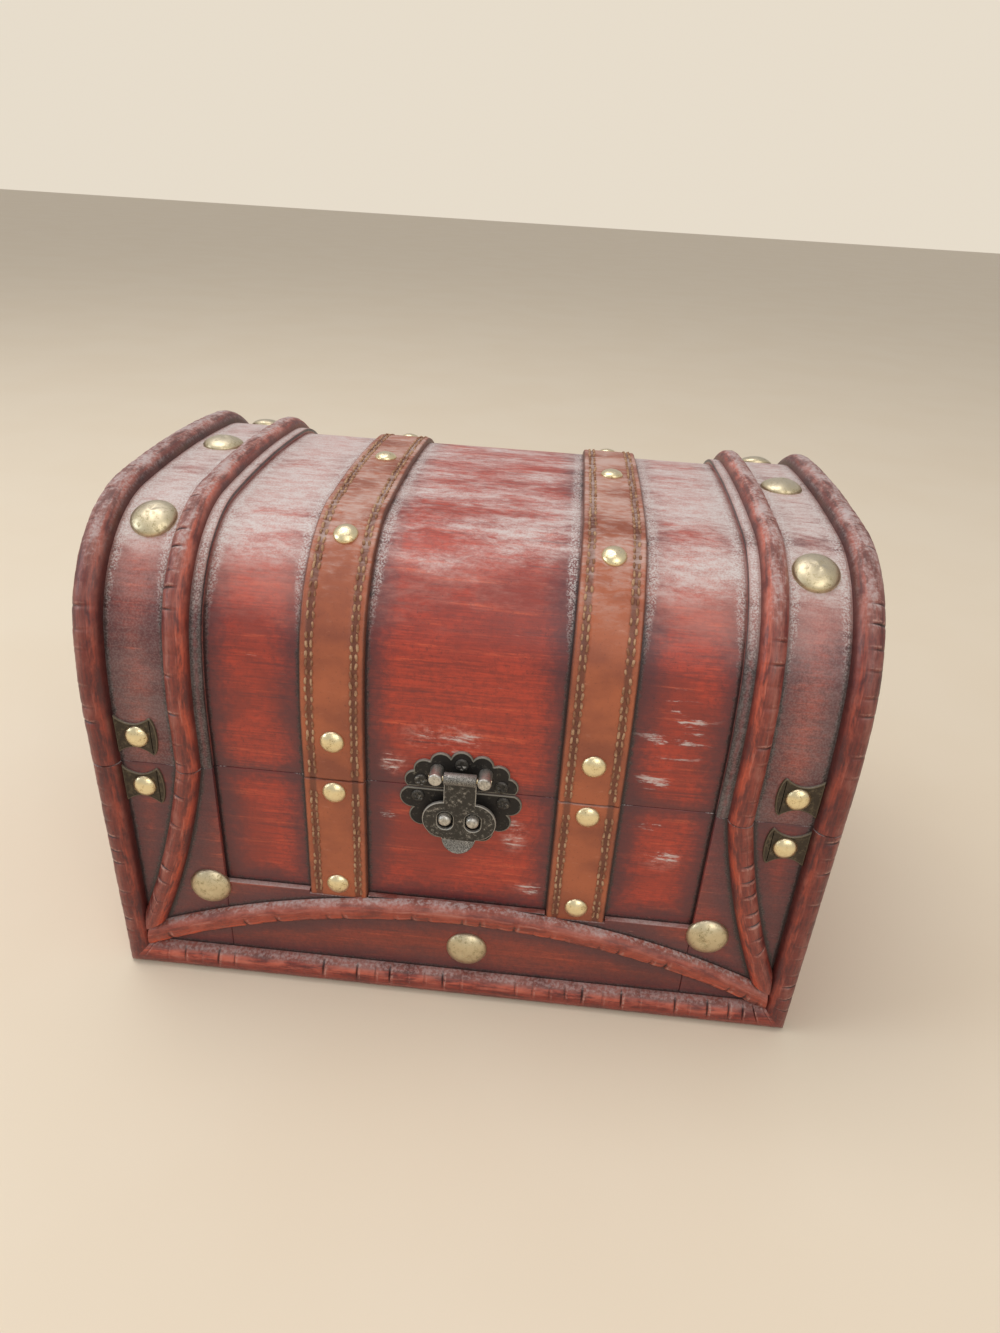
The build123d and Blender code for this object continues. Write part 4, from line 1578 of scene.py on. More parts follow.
@dataclass
class Mouldings:
    """Every half-round: edge and inner mouldings, the bottom rails, the arch and the two brackets."""

    finishes: Finishes
    bracket_end: float = math.radians(24.5)
    bracket_gap: float = 0.4 * MM

    def over_lid(self) -> None:
        """Mouldings carried over the lid, which stop short of the seam on the back."""
        kinds = (
            ("edge", SIZES.edge_x, SIZES.edge_width, SIZES.edge_proud, self.finishes.edge_moulding),
            ("inner", SIZES.inner_x, SIZES.inner_width, SIZES.inner_proud, self.finishes.inner_moulding),
        )
        for count, (kind, x, width, proud, material) in enumerate(kinds):
            for name, sign in SIDES:
                path = DOME.path(sign * x, SIZES.band, SIZES.seam_gap, SIZES.back_gap)
                if sign > 0:
                    path.across = -path.across
                seed = 10 * count + sign + 3
                Moulding(f"lid_{kind}_moulding_{name}", path, width, proud, material, seed).build()

    def frames(self) -> None:
        """Mitred frame of uprights and a bottom rail on the front and on the back."""
        slope_up = SIZES.rail_width / SIZES.edge_width

        def foot(u: Array) -> Array:
            """Length that mitres an upright's foot."""
            return (u + SIZES.edge_width / 2) * slope_up

        for face, side in FACES:
            depth = side * SIZES.band_face
            out = (0.0, side, 0.0)
            top = SIZES.seam - (SIZES.back_gap if side > 0 else SIZES.seam_gap)
            for name, sign in SIDES:
                x = sign * SIZES.edge_x
                path = straight_path((x, depth, 0.0), (x, depth, top), out)
                path.across = np.tile([-float(sign), 0.0, 0.0], (len(path.across), 1))
                Moulding(
                    f"base_{face}_moulding_{name}", path, SIZES.edge_width, SIZES.edge_proud,
                    self.finishes.edge_moulding, 40 + side + 3 * sign, start_trim=foot,
                ).build()
            middle = SIZES.rail_width / 2
            start = (-SIZES.half_length, depth, middle)
            path = straight_path(start, (SIZES.half_length, depth, middle), out, 120)

            def mitre(u: Array, upward: float = float(np.sign(path.across[0, 2]))) -> Array:
                """Length that mitres either end of the bottom rail."""
                return (u * upward + SIZES.rail_width / 2) / slope_up

            Moulding(
                f"base_{face}_moulding_bottom", path, SIZES.rail_width, SIZES.edge_proud,
                self.finishes.rail, 60 + side, start_trim=mitre, end_trim=mitre,
            ).build()

    def arch(self) -> None:
        """Low arch across the front, cut square against the uprights."""
        reach = SIZES.moulding_inner_x
        tip = math.asin(reach / ARCH.radius)
        path = front_arc_path(ARCH.middle, ARCH.radius, math.pi / 2 + tip, math.pi / 2 - tip, SIZES.band_face)

        def trim(u: Array) -> Array:
            """Length that brings the end to the upright's inner line."""
            return ARCH.radius * (tip - np.arcsin(reach / (ARCH.radius + u)))

        Moulding(
            "base_arch_moulding", path, ARCH.width, ARCH.proud, self.finishes.arch, 81,
            start_trim=trim, end_trim=trim,
            notches=NotchPlan(pitch=6.0 * MM, wander=0.5 * MM, depth=0.9 * MM, half_width=0.62 * MM),
        ).build()

    def brackets(self) -> None:
        """Curved brackets from the inner mouldings out to the feet of the uprights."""
        start = math.pi + BRACKET_SLOPE
        stop = math.pi + self.bracket_end
        turn = np.linspace(start - 0.03, stop + 0.03, 3000)
        arch_reach = ARCH.radius + ARCH.width / 2 + self.bracket_gap

        def bounds(u: Array) -> tuple[Array, Array]:
            """First and last angle at which the moulding is below the seam, above the arch and inside.

            Args:
                u: Places across the moulding.

            Returns:
                Both angles at each place.
            """
            radius = BRACKET.radius + u[:, None]
            x = BRACKET.middle[0] + radius * np.cos(turn)[None, :]
            z = BRACKET.middle[1] + radius * np.sin(turn)[None, :]
            below = z <= SIZES.seam - 0.2 * MM
            above_arch = np.hypot(x - ARCH.middle[0], z - ARCH.middle[1]) > arch_reach
            clear = above_arch & (x < SIZES.moulding_inner_x)
            first = turn[np.argmax(below, axis=1)]
            last = turn[np.argmax(below & ~clear, axis=1)]
            return first, last

        for name, sign in SIDES:
            path = front_arc_path(BRACKET.middle, BRACKET.radius, start, stop, SIZES.band_face)
            mirror = np.array([sign, 1.0, 1.0])
            path.points, path.across = path.points * mirror, path.across * mirror
            Moulding(
                f"base_bracket_{name}", path, BRACKET.width, BRACKET.proud,
                self.finishes.inner_moulding, 91 + sign,
                start_trim=lambda u: BRACKET.radius * (bounds(u)[0] - start),
                end_trim=lambda u: BRACKET.radius * (stop - bounds(u)[1]),
                reach=30.0 * MM,
            ).build()

    def build(self) -> None:
        """Makes every moulding."""
        self.over_lid()
        self.frames()
        self.arch()
        self.brackets()


@dataclass(frozen=True)
class StitchPlan:
    """Where the stitches lie on a strap, measured from its middle line."""

    middle: float = 6.9 * MM
    spread: float = 0.85 * MM
    pitch: float = 2.9 * MM
    length: float = 2.5 * MM
    thick: float = 0.46 * MM
    bow: float = 0.22 * MM
    sides: int = 6

    @property
    def rows(self) -> Array:
        """Places of the four rows across the strap."""
        pair = np.array([self.middle - self.spread, self.middle + self.spread])
        return np.concatenate([-pair[::-1], pair])


STITCHES = StitchPlan()


@dataclass
class Strap:
    """Leather strap along a run, with two stitched tracks.

    Attributes:
        node: Node that the strap stands for, whose first word is its body.
        path: Run along its under face.
        seed: Seed of its small differences.
        finishes: Materials of the chest.
        columns: Points across it.
        groove: Depth of the stitch tracks.
        edge: Radius of its rounded edges.
    """

    node: str
    path: Path
    seed: int
    finishes: Finishes
    columns: int = 57
    groove: float = 0.28 * MM
    edge: float = 0.9 * MM

    def build(self) -> None:
        """Makes the leather, then its thread."""
        self.leather()
        self.thread()

    def top(self, u: Array) -> Array:
        """Height of the leather: flat, rounded at both edges, sunk under the stitch tracks.

        Args:
            u: Places across the strap.

        Returns:
            The heights above the under face.
        """
        edge = np.clip((np.abs(u) - (SIZES.strap_width / 2 - self.edge)) / self.edge, 0.0, 1.0)
        sink = np.exp(-(((np.abs(u) - STITCHES.middle) / (1.35 * MM)) ** 4))
        return SIZES.strap_thick - self.edge * (1 - np.sqrt(1 - 0.999 * edge ** 2)) - self.groove * sink

    def leather(self) -> Piece:
        """Makes the strip: point = run + across * u + out * top(u), with slow waves.

        Returns:
            The piece.
        """
        rng = np.random.default_rng(self.seed)
        run, inset = eased_runs(self.path.length, 0.5 * MM, 1.6 * MM)
        half = SIZES.strap_width / 2
        u = half * np.sin(np.linspace(-math.pi / 2, math.pi / 2, self.columns))
        u = 0.65 * np.linspace(-half, half, self.columns) + 0.35 * u
        wave = sum(slow_wave(run, length, rng) for length in (37 * MM, 17 * MM))
        height = self.top(u) + wave[:, None] + rng.normal(0, 0.02 * MM, (len(run), self.columns))
        height = np.maximum(height - inset[:, None], 0.1 * MM)
        section_v = np.concatenate([height, np.full((len(run), 2), -0.2 * MM)], axis=1)
        section_u = np.broadcast_to(np.concatenate([u, [half, -half]]), section_v.shape)
        grid = carried(self.path.at(run), np.stack([section_u, section_v], axis=-1))
        pairs = np.stack([np.broadcast_to(run[:, None], section_u.shape), section_u], axis=-1).reshape(-1, 2)
        faces = grid_faces(*grid.shape[:2])
        piece = Piece(f"{self.node}_leather", grid.reshape(-1, 3), faces, sharp=60.0).lay(pairs)
        return piece.dress(self.finishes.leather).mount(self.node.split("_")[0], "leather", self.node)

    def thread(self) -> Piece:
        """Makes the stitches, each a short bowed strand of a few rings.

        A stitch is its centre + forward * s + across * r cos a + out * (r sin a + bow (1 - s^2)).

        Returns:
            The piece.
        """
        rng = np.random.default_rng(self.seed + 500)
        count = int((self.path.length - 3 * MM) / STITCHES.pitch)
        even = (np.arange(count) + 0.5) * STITCHES.pitch + 1.5 * MM
        row, run = np.meshgrid(STITCHES.rows, even, indexing="ij")
        run = run + rng.normal(0, 0.16 * MM, run.shape)
        row = row + rng.normal(0, 0.10 * MM, row.shape)
        kept = (rng.random(run.shape) > 0.05).ravel()
        run, row = run.ravel()[kept], row.ravel()[kept]
        order = np.argsort(run)
        run, row = np.clip(run[order], 1.4 * MM, self.path.length - 1.4 * MM), row[order]
        rows = self.path.at(run)
        forward = np.cross(rows.across, rows.out)
        along = unit(forward + rows.across * rng.normal(0, 0.10, len(run))[:, None])
        side = np.cross(rows.out, along)
        share = np.array([-1.0, -0.72, 0.0, 0.72, 1.0])[:, None]
        fat = np.array([0.35, 0.92, 1.0, 0.92, 0.35])[:, None]
        turn = np.linspace(0.0, 2 * math.pi, STITCHES.sides, endpoint=False)
        length = STITCHES.length * rng.uniform(0.75, 1.08, len(run))
        centre = rows.points + rows.across * row[:, None] + rows.out * self.top(row)[:, None]
        reach = length[:, None, None] / 2 * share
        thick = STITCHES.thick * fat * rng.uniform(0.8, 1.15, (len(run), 1, 1))
        sideways = thick * np.cos(turn)
        lift = thick * np.sin(turn) + STITCHES.bow * (1 - 1.7 * share ** 2)
        grid = (
            centre[:, None, None, :]
            + reach[..., None] * along[:, None, None, :]
            + sideways[..., None] * side[:, None, None, :]
            + lift[..., None] * rows.out[:, None, None, :]
        )
        *quads, head, tail = grid_faces(len(share), STITCHES.sides)
        first = (np.arange(len(run)) * len(share) * STITCHES.sides)[:, None, None]
        faces = (np.array(quads) + first).reshape(-1, 4).tolist()
        faces += (np.array([head, tail]) + first).reshape(-1, STITCHES.sides).tolist()
        piece = Piece(f"{self.node}_thread", grid.reshape(-1, 3), faces, sharp=80.0)
        return piece.dress(self.finishes.thread).mount(self.node.split("_")[0], "leather")


@dataclass
class Straps:
    """Two straps over the lid and their short ends on the base, front and back."""

    finishes: Finishes

    def build(self) -> None:
        """Makes every strap."""
        for name, sign in SIDES:
            x = sign * SIZES.strap_x
            path = DOME.path(x, 0.0, SIZES.seam_gap, SIZES.seam_gap)
            Strap(f"lid_strap_{name}", path, 200 + sign, self.finishes).build()
            for face, side in FACES:
                depth = side * SIZES.half_depth
                start = (x, depth, SIZES.strap_foot + 0.1 * MM)
                path = straight_path(start, (x, depth, SIZES.seam - SIZES.seam_gap), (0.0, side, 0.0))
                Strap(f"base_{face}_strap_{name}", path, 210 + sign + 4 * side, self.finishes).build()


def along_y(x: float, depth: float, z: float, side: int) -> Spot:
    """A place on the front (-1) or back (1) face, with its outward normal."""
    return np.array([x, side * depth, z]), np.array([0.0, float(side), 0.0])


@dataclass(frozen=True)
class NailForm:
    """Shape of a domed nail head."""

    radius: float
    dome: float
    sides: int = 28
    rings: int = 8
    dent: float = 0.05 * MM
    foot: float = 0.22 * MM

    def head(self, spot: Array, normal: Array, rng: np.random.Generator) -> Shape:
        """One head: height = dome * (1 - (r / radius)^2) ^ 0.62, on a thin foot, with shallow dents.

        Args:
            spot: Middle of the head's foot.
            normal: Direction that the head faces.
            rng: Source of its small differences.

        Returns:
            Points and faces.
        """
        share = np.cos(np.linspace(0.0, math.pi / 2, self.rings + 1))
        radius = self.radius * share
        height = self.foot + (self.dome - self.foot) * (1 - share ** 2) ** 0.62
        side = [(self.radius, -0.6 * MM), (self.radius, 0.0)]
        profile = np.vstack([side, np.column_stack([radius, height])])
        phase = rng.uniform(0, 6.3, 3)

        def dents(angle: Array, ring: Array) -> Array:
            """Shallow waves round the head."""
            wave = np.sin(2 * angle + phase[0]) + 0.7 * np.sin(3 * angle + phase[1] + ring / self.radius * 4)
            return self.dent * wave * np.clip(1.2 - ring / self.radius, 0.0, 1.0)

        return revolved(spot, normal, profile, self.sides, dents)


@dataclass
class Nails:
    """Small domed nails down the straps and on the corner plates, and big ones on the bands."""

    finishes: Finishes
    small: NailForm = NailForm(3.9 * MM, 2.1 * MM)
    big: NailForm = NailForm(7.2 * MM, 3.4 * MM, sides=44, rings=12, dent=0.12 * MM)
    shoulder: float = math.radians(62.0)
    crown: float = math.pi / 2 + math.asin(5.0 * MM / DOME.crown_radius)
    corner_x: float = 104.0 * MM
    lid_big_x: float = 101.0 * MM
    lid_rise: float = 15.0 * MM
    seam_drop: float = 4.5 * MM
    foot_rise: float = 6.0 * MM
    base_big: tuple[tuple[float, float], ...] = (
        (-86.5 * MM, 38.7 * MM), (86.5 * MM, 38.7 * MM), (4.4 * MM, 21.2 * MM),
    )

    def small_on_lid(self) -> list[Spot]:
        """Places of the small nails on the lid: five on each strap, then one on each corner plate.

        Returns:
            Points and normals.
        """
        strap, places = SIZES.strap_thick, []
        for x in SIZES.straps:
            for _, side in FACES:
                places.append(along_y(x, SIZES.half_depth + strap, SIZES.seam + self.lid_rise, side))
                places.append(DOME.spot(x, strap, side, self.shoulder))
            places.append(DOME.spot(x, strap, -1, self.crown))
        height = SIZES.seam + SIZES.corner_rise
        return places + [along_y(sign * self.corner_x, SIZES.corner_face, height, -1) for _, sign in SIDES]

    def small_on_base(self) -> list[Spot]:
        """Places of the small nails on the base: four on each strap, then one on each corner plate.

        Returns:
            Points and normals.
        """
        face, places = SIZES.half_depth + SIZES.strap_thick, []
        for x in SIZES.straps:
            for side, drop in ((-1, 0.0), (1, SIZES.back_gap)):
                places.append(along_y(x, face, SIZES.seam - self.seam_drop - drop, side))
                places.append(along_y(x, face, SIZES.strap_foot + self.foot_rise, side))
        height = SIZES.seam - SIZES.corner_drop
        return places + [along_y(sign * self.corner_x, SIZES.corner_face, height, -1) for _, sign in SIDES]

    def big_on_lid(self) -> list[Spot]:
        """Places of the big nails on the lid: on each band's front shoulder, back shoulder and crown.

        Returns:
            Points and normals.
        """
        turns = ((-1, self.shoulder), (1, self.shoulder), (-1, self.crown))
        xs = [sign * self.lid_big_x for _, sign in SIDES]
        return [DOME.spot(x, SIZES.band, side, turn) for x in xs for side, turn in turns]

    def big_on_base(self) -> list[Spot]:
        """Places of the big nails on the front of the base."""
        return [along_y(x, SIZES.band_face, z, -1) for x, z in self.base_big]

    def build(self) -> None:
        """Makes one piece for each set of nails."""
        sets = (
            ("lid_small_nails", "lid", self.small, self.small_on_lid(), self.finishes.small_nail),
            ("base_small_nails", "base", self.small, self.small_on_base(), self.finishes.small_nail),
            ("lid_big_nails", "lid", self.big, self.big_on_lid(), self.finishes.big_nail),
            ("base_big_nails", "base", self.big, self.big_on_base(), self.finishes.big_nail),
        )
        for seed, (node, body, form, places, material) in enumerate(sets):
            rng = np.random.default_rng(300 + seed)
            points, faces = joined([form.head(spot, normal, rng) for spot, normal in places])
            piece = Piece(f"{node}_heads", points, faces, sharp=75.0)
            piece.dress(material).mount(body, "antique_brass", node)


def rimmed_plate(name: str, outline: Array, low: float, high: float, rim: float) -> Piece:
    """Thin plate on the front with a rounded, slightly raised rim, marked in its "rim" attribute.

    Args:
        name: Name of the piece.
        outline: Outline in the plate's own plane.
        low: Distance of the under face in front of the chest's middle.
        high: Distance of the outer face.
        rim: Width of the rim.

    Returns:
        The piece.
    """
    ease = min(0.35 * MM, (high - low) / 2)
    turn = np.linspace(0.0, math.pi / 2, 4)
    levels = [(0.0, low)]
    levels += [(ease * (1 - math.cos(t)), high - ease * (1 - math.sin(t))) for t in turn]
    marks = [1.0] * len(levels) + [0.7, 0.1, 0.0]
    levels += [(rim * 0.7, high), (rim, high - 0.10 * MM), (rim * 1.4, high - 0.12 * MM)]
    grid = ringed(outline, levels)
    points = grid.reshape(-1, 3)
    piece = Piece(name, FRONT.put(points), grid_faces(*grid.shape[:2]), 50.0).lay(points[:, :2])
    return piece.mark("rim", np.repeat(marks, grid.shape[1]))


@dataclass
class CornerPlates:
    """Four thin scooped plates beside the edge mouldings, next to the seam on the front."""

    finishes: Finishes
    width: float = 13.5 * MM
    height: float = 14.0 * MM
    shoulder: float = 2.0 * MM
    scoop: float = 2.6 * MM

    def outline(self) -> Array:
        """Outline of a plate: a scooped top, a rounded inner side and a scooped foot.

        Returns:
            Points, one (x, y) row each, from the straight side at x = 0.
        """
        half = self.height / 2
        flat = self.width - self.shoulder
        share = np.linspace(0.0, 1.0, 25)
        top = np.column_stack([flat * share, half - self.scoop * 4 * share * (1 - share)])
        turn = np.linspace(math.pi / 2, -math.pi / 2, 33)[1:-1]
        side = np.column_stack([flat + self.shoulder * np.cos(turn), half * np.sin(turn)])
        foot = np.column_stack([top[::-1, 0], -top[::-1, 1]])
        return np.concatenate([top, side, foot])

    def build(self) -> None:
        """Makes the four plates."""
        outline = self.outline()
        for body, height in (
            ("lid", SIZES.seam + SIZES.corner_rise), ("base", SIZES.seam - SIZES.corner_drop),
        ):
            for name, sign in SIDES:
                moved = outline * np.array([-sign, 1.0]) + (sign * SIZES.moulding_inner_x, height)
                node = f"{body}_corner_plate_{name}"
                piece = rimmed_plate(f"{node}_metal", moved, SIZES.band_face, SIZES.corner_face, 0.5 * MM)
                piece.dress(self.finishes.plate).mount(body, "antique_bronze", node)


def circle_reach(rays: Array, centre: tuple[float, float], radius: float) -> Array:
    """Distance along each unit ray at which it leaves a circle, or 0 where it misses it.

    Args:
        rays: Unit vectors from the origin.
        centre: Middle of the circle.
        radius: Its radius.

    Returns:
        The distances.
    """
    along = rays @ np.array(centre)
    inside = radius ** 2 - float(np.dot(centre, centre)) + along ** 2
    return np.where(inside > 0, along + np.sqrt(np.maximum(inside, 0.0)), 0.0)


@dataclass
class Latch:
    """Scalloped plates above and below the seam, two lugs, a swinging hasp and two studs."""

    finishes: Finishes
    upper: Triple = (18.3 * MM, 14.5 * MM, 3.6 * MM)
    lower: Triple = (19.8 * MM, 21.3 * MM, 4.1 * MM)
    lobes: int = 7
    plate_gap: float = 0.3 * MM
    rim: float = 0.6 * MM
    lug_x: float = 7.7 * MM
    lug_radius: float = 2.2 * MM
    lug_length: float = 6.0 * MM
    axis_rise: float = 7.4 * MM
    axis_out: float = 4.0 * MM
    barrel: float = 2.0 * MM
    neck: float = 5.2 * MM
    hasp_thick: float = 1.2 * MM
    lobe_drop: float = 17.4 * MM
    lobe_x: float = 4.8 * MM
    lobe_radius: float = 7.2 * MM
    lip_radius: float = 5.6 * MM
    lip_drop: float = 24.0 * MM
    bend_drop: float = 25.2 * MM
    bend: float = math.radians(28.0)
    stud_x: float = 4.5 * MM
    stud_radius: float = 2.1 * MM
    stud_length: float = 5.4 * MM
    stud_rise: float = 1.1 * MM
    pin_radius: float = 0.8 * MM
    hole_radius: float = 2.6 * MM
    hole_stretch: float = 1.0 * MM
    ease: float = 0.3 * MM
    bevel: float = 0.28 * MM

    @property
    def plate_face(self) -> float:
        """Depth of the plates' outer face."""
        return SIZES.half_depth + SIZES.plate_thick

    @property
    def axis(self) -> tuple[float, float]:
        """Depth and height of the hasp's axis."""
        return self.plate_face + self.axis_out, SIZES.seam + self.axis_rise

    def scalloped(self, sizes: Triple, flip: int) -> Array:
        """Half plate whose round edge is the farthest reach of an ellipse and its lobes.

        Args:
            sizes: Half width, height and lobe radius.
            flip: 1 for a plate above the seam, -1 for one below.

        Returns:
            The outline.
        """
        half_width, height, lobe = sizes
        step = math.pi / self.lobes
        across = (half_width - lobe) / math.cos(step / 2)
        up = height - lobe
        turn = np.linspace(0.0, math.pi, 281)
        rays = np.column_stack([np.cos(turn), np.sin(turn)])
        reach = 1 / np.sqrt((rays[:, 0] / across) ** 2 + (rays[:, 1] / up) ** 2)
        for count in range(self.lobes):
            angle = step * (count + 0.5)
            centre = (across * math.cos(angle), up * math.sin(angle))
            reach = np.maximum(reach, circle_reach(rays, centre, lobe))
        return rays * reach[:, None] * np.array([1.0, flip])

    def rods(self, name: str, x: float, height: float, profile: Array, sides: int) -> Piece:
        """Two turned rods on the face of the plates, one at either side of the middle.

        Args:
            name: Name of the piece.
            x: Distance of each from the middle.
            height: Height of their axes.
            profile: (radius, height) rows.
            sides: Points in a ring.

        Returns:
            The piece.
        """
        shapes = [
            revolved(*along_y(sign * x, self.plate_face, height, -1), profile, sides) for _, sign in SIDES
        ]
        return Piece(name, *joined(shapes), sharp=60.0).dress(self.finishes.steel)

    def plates(self) -> None:
        """Makes both plates, with the lugs as part of the upper one, and the pin between the lugs."""
        low = SIZES.half_depth - 0.1 * MM
        for body, half, sizes, flip in (("lid", "upper", self.upper, 1), ("base", "lower", self.lower, -1)):
            outline = self.scalloped(sizes, flip) + (0.0, SIZES.seam + flip * self.plate_gap)
            node = f"latch_{half}_plate"
            plate = rimmed_plate(f"{node}_metal", outline, low, self.plate_face, self.rim)
            plate.dress(self.finishes.bronze).mount(body, "antique_bronze", node)
        depth, height = self.axis
        profile = blunt_rod(self.lug_radius, self.lug_length, 0.7 * MM, 0.5 * MM, 5)
        self.rods("latch_lugs", self.lug_x, height, profile, 26).mount("lid", "antique_bronze")
        reach, radius = self.lug_x + self.lug_radius, self.pin_radius
        profile = np.array([
            (radius - 0.05 * MM, 0.0), (radius, 0.1 * MM), (radius, 0.5 * MM), (radius, 2 * reach),
            (0.0, 2 * reach),
        ])
        start = np.array([-reach, -depth, height])
        pin = Piece("latch_pin_metal", *revolved(start, RIGHTWARD, profile, 18))
        pin.dress(self.finishes.small_nail).mount("lid", "antique_bronze", "latch_pin")

    def hasp_rings(self) -> tuple[Array, list[Array]]:
        """Outline of the hasp's flat part, and its two holes, round the middle of its lobes.

        Returns:
            The outline and the holes, as (x, z) points.
        """
        turn = np.linspace(0.0, 2 * math.pi, 240, endpoint=False)
        rays = np.column_stack([np.cos(turn), np.sin(turn)])
        steep = np.maximum(np.abs(rays), 1e-9)
        neck = np.minimum(self.neck / steep[:, 0], self.lobe_drop / steep[:, 1])
        reach = np.where(rays[:, 1] > 0, neck, 0.0)
        for _, sign in SIDES:
            reach = np.maximum(reach, circle_reach(rays, (sign * self.lobe_x, 0.0), self.lobe_radius))
        lip = circle_reach(rays, (0.0, self.lobe_drop - self.lip_drop), self.lip_radius)
        cut = np.where(rays[:, 1] < 0, (self.bend_drop - self.lobe_drop) / steep[:, 1], 1.0)
        reach = np.maximum(reach, np.minimum(lip, cut))
        hole = rays[::5] * self.hole_radius
        hole[:, 1] += np.sign(hole[:, 1]) * self.hole_stretch
        return rays * reach[:, None], [hole + (sign * self.stud_x, 0.0) for _, sign in SIDES]

    def flat_part(self) -> Shape:
        """Sheet filled between the outline and the holes, with rounded edges, in its own plane.

        Returns:
            Points and faces.
        """
        outline, holes = self.hasp_rings()
        sheet = bpy.data.curves.new("hasp_outline", "CURVE")
        sheet.dimensions = "2D"
        sheet.fill_mode = "BOTH"
        sheet.extrude = self.hasp_thick / 2 - self.bevel
        sheet.bevel_depth = self.bevel
        sheet.bevel_resolution = 2
        sheet.offset = -self.bevel
        for ring in (outline, *holes):
            spline = sheet.splines.new("POLY")
            spline.points.add(len(ring) - 1)
            rows = np.column_stack([ring, np.zeros(len(ring)), np.ones(len(ring))])
            spline.points.foreach_set("co", rows.ravel())
            spline.use_cyclic_u = True
        holder = bpy.data.objects.new("hasp_outline", sheet)
        bpy.context.scene.collection.objects.link(holder)
        mesh = bpy.data.meshes.new_from_object(holder.evaluated_get(bpy.context.evaluated_depsgraph_get()))
        flat = np.empty(len(mesh.vertices) * 3)
        mesh.vertices.foreach_get("co", flat)
        faces = [list(face.vertices) for face in mesh.polygons]
        bpy.data.objects.remove(holder)
        bpy.data.meshes.remove(mesh)
        return flat.reshape(-1, 3), faces

    def hasp(self) -> None:
        """Makes the hasp: a flat part with two holes, a barrel round the pin and a lip bent outwards."""
        depth, height = self.axis
        back = depth - self.barrel
        points, faces = self.flat_part()
        place = Facing(
            (0.0, -back - self.hasp_thick / 2, height - self.lobe_drop), (1.0, 0.0, 0.0), (0.0, 0.0, 1.0)
        )
        radius, width, ease = self.barrel, 2 * self.neck, self.ease
        profile = np.array([
            (radius - ease, 0.0), (radius, ease), (radius, width - ease), (radius - ease, width),
            (0.0, width),
        ])
        barrel = revolved(np.array([-self.neck, -depth, height]), RIGHTWARD, profile, 28)
        parts = [(place.put(points), faces), self.lip(back, height), barrel]
        piece = Piece("hasp_metal", *joined(parts), sharp=50.0)
        normals = np.empty(len(piece.mesh.polygons) * 3)
        piece.mesh.polygons.foreach_get("normal", normals)
        marks = np.where(np.abs(normals.reshape(-1, 3)[:, 1]) < 0.98, 1.0, 0.0)
        marks[len(faces):] = 0.62
        piece.mark("rim", marks, "FACE")
        piece.dress(self.finishes.worn_bronze).mount("hasp", "antique_bronze", "hasp")

    def lip(self, back: float, height: float) -> Shape:
        """Half-round lip, turned outwards about the bend.

        Args:
            back: Depth of the hasp's back face.
            height: Height of the hasp's axis.

        Returns:
            Points and faces.
        """
        bend_z = height - self.bend_drop
        centre_z = height - self.lip_drop
        first = math.asin((bend_z + SIZES.sunk - centre_z) / self.lip_radius)
        turn = np.linspace(math.pi - first, 2 * math.pi + first, 41)
        outline = np.column_stack([self.lip_radius * np.cos(turn), centre_z + self.lip_radius * np.sin(turn)])
        ease, thick = self.ease, self.hasp_thick
        grid = ringed(outline, [(ease, 0.0), (0.0, ease), (0.0, thick - ease), (ease, thick)])
        x, z, out = grid[..., 0], grid[..., 1] - bend_z, grid[..., 2]
        turned_out = out - z * math.sin(self.bend)
        points = np.stack([x, -(back + turned_out), bend_z + z * math.cos(self.bend)], axis=-1)
        return points.reshape(-1, 3), grid_faces(*grid.shape[:2])

    def studs(self) -> None:
        """Makes the two round-nosed studs that the hasp drops over."""
        profile = blunt_rod(self.stud_radius, self.stud_length, 1.3 * MM, 0.3 * MM, 7, 0.05 * MM)
        height = self.axis[1] - self.lobe_drop + self.stud_rise
        studs = self.rods("latch_studs_metal", self.stud_x, height, profile, 28)
        studs.mount("base", "antique_bronze", "latch_studs")

    def build(self) -> None:
        """Makes the plates with their lugs and pin, the hasp and the studs."""
        self.plates()
        self.hasp()
        self.studs()


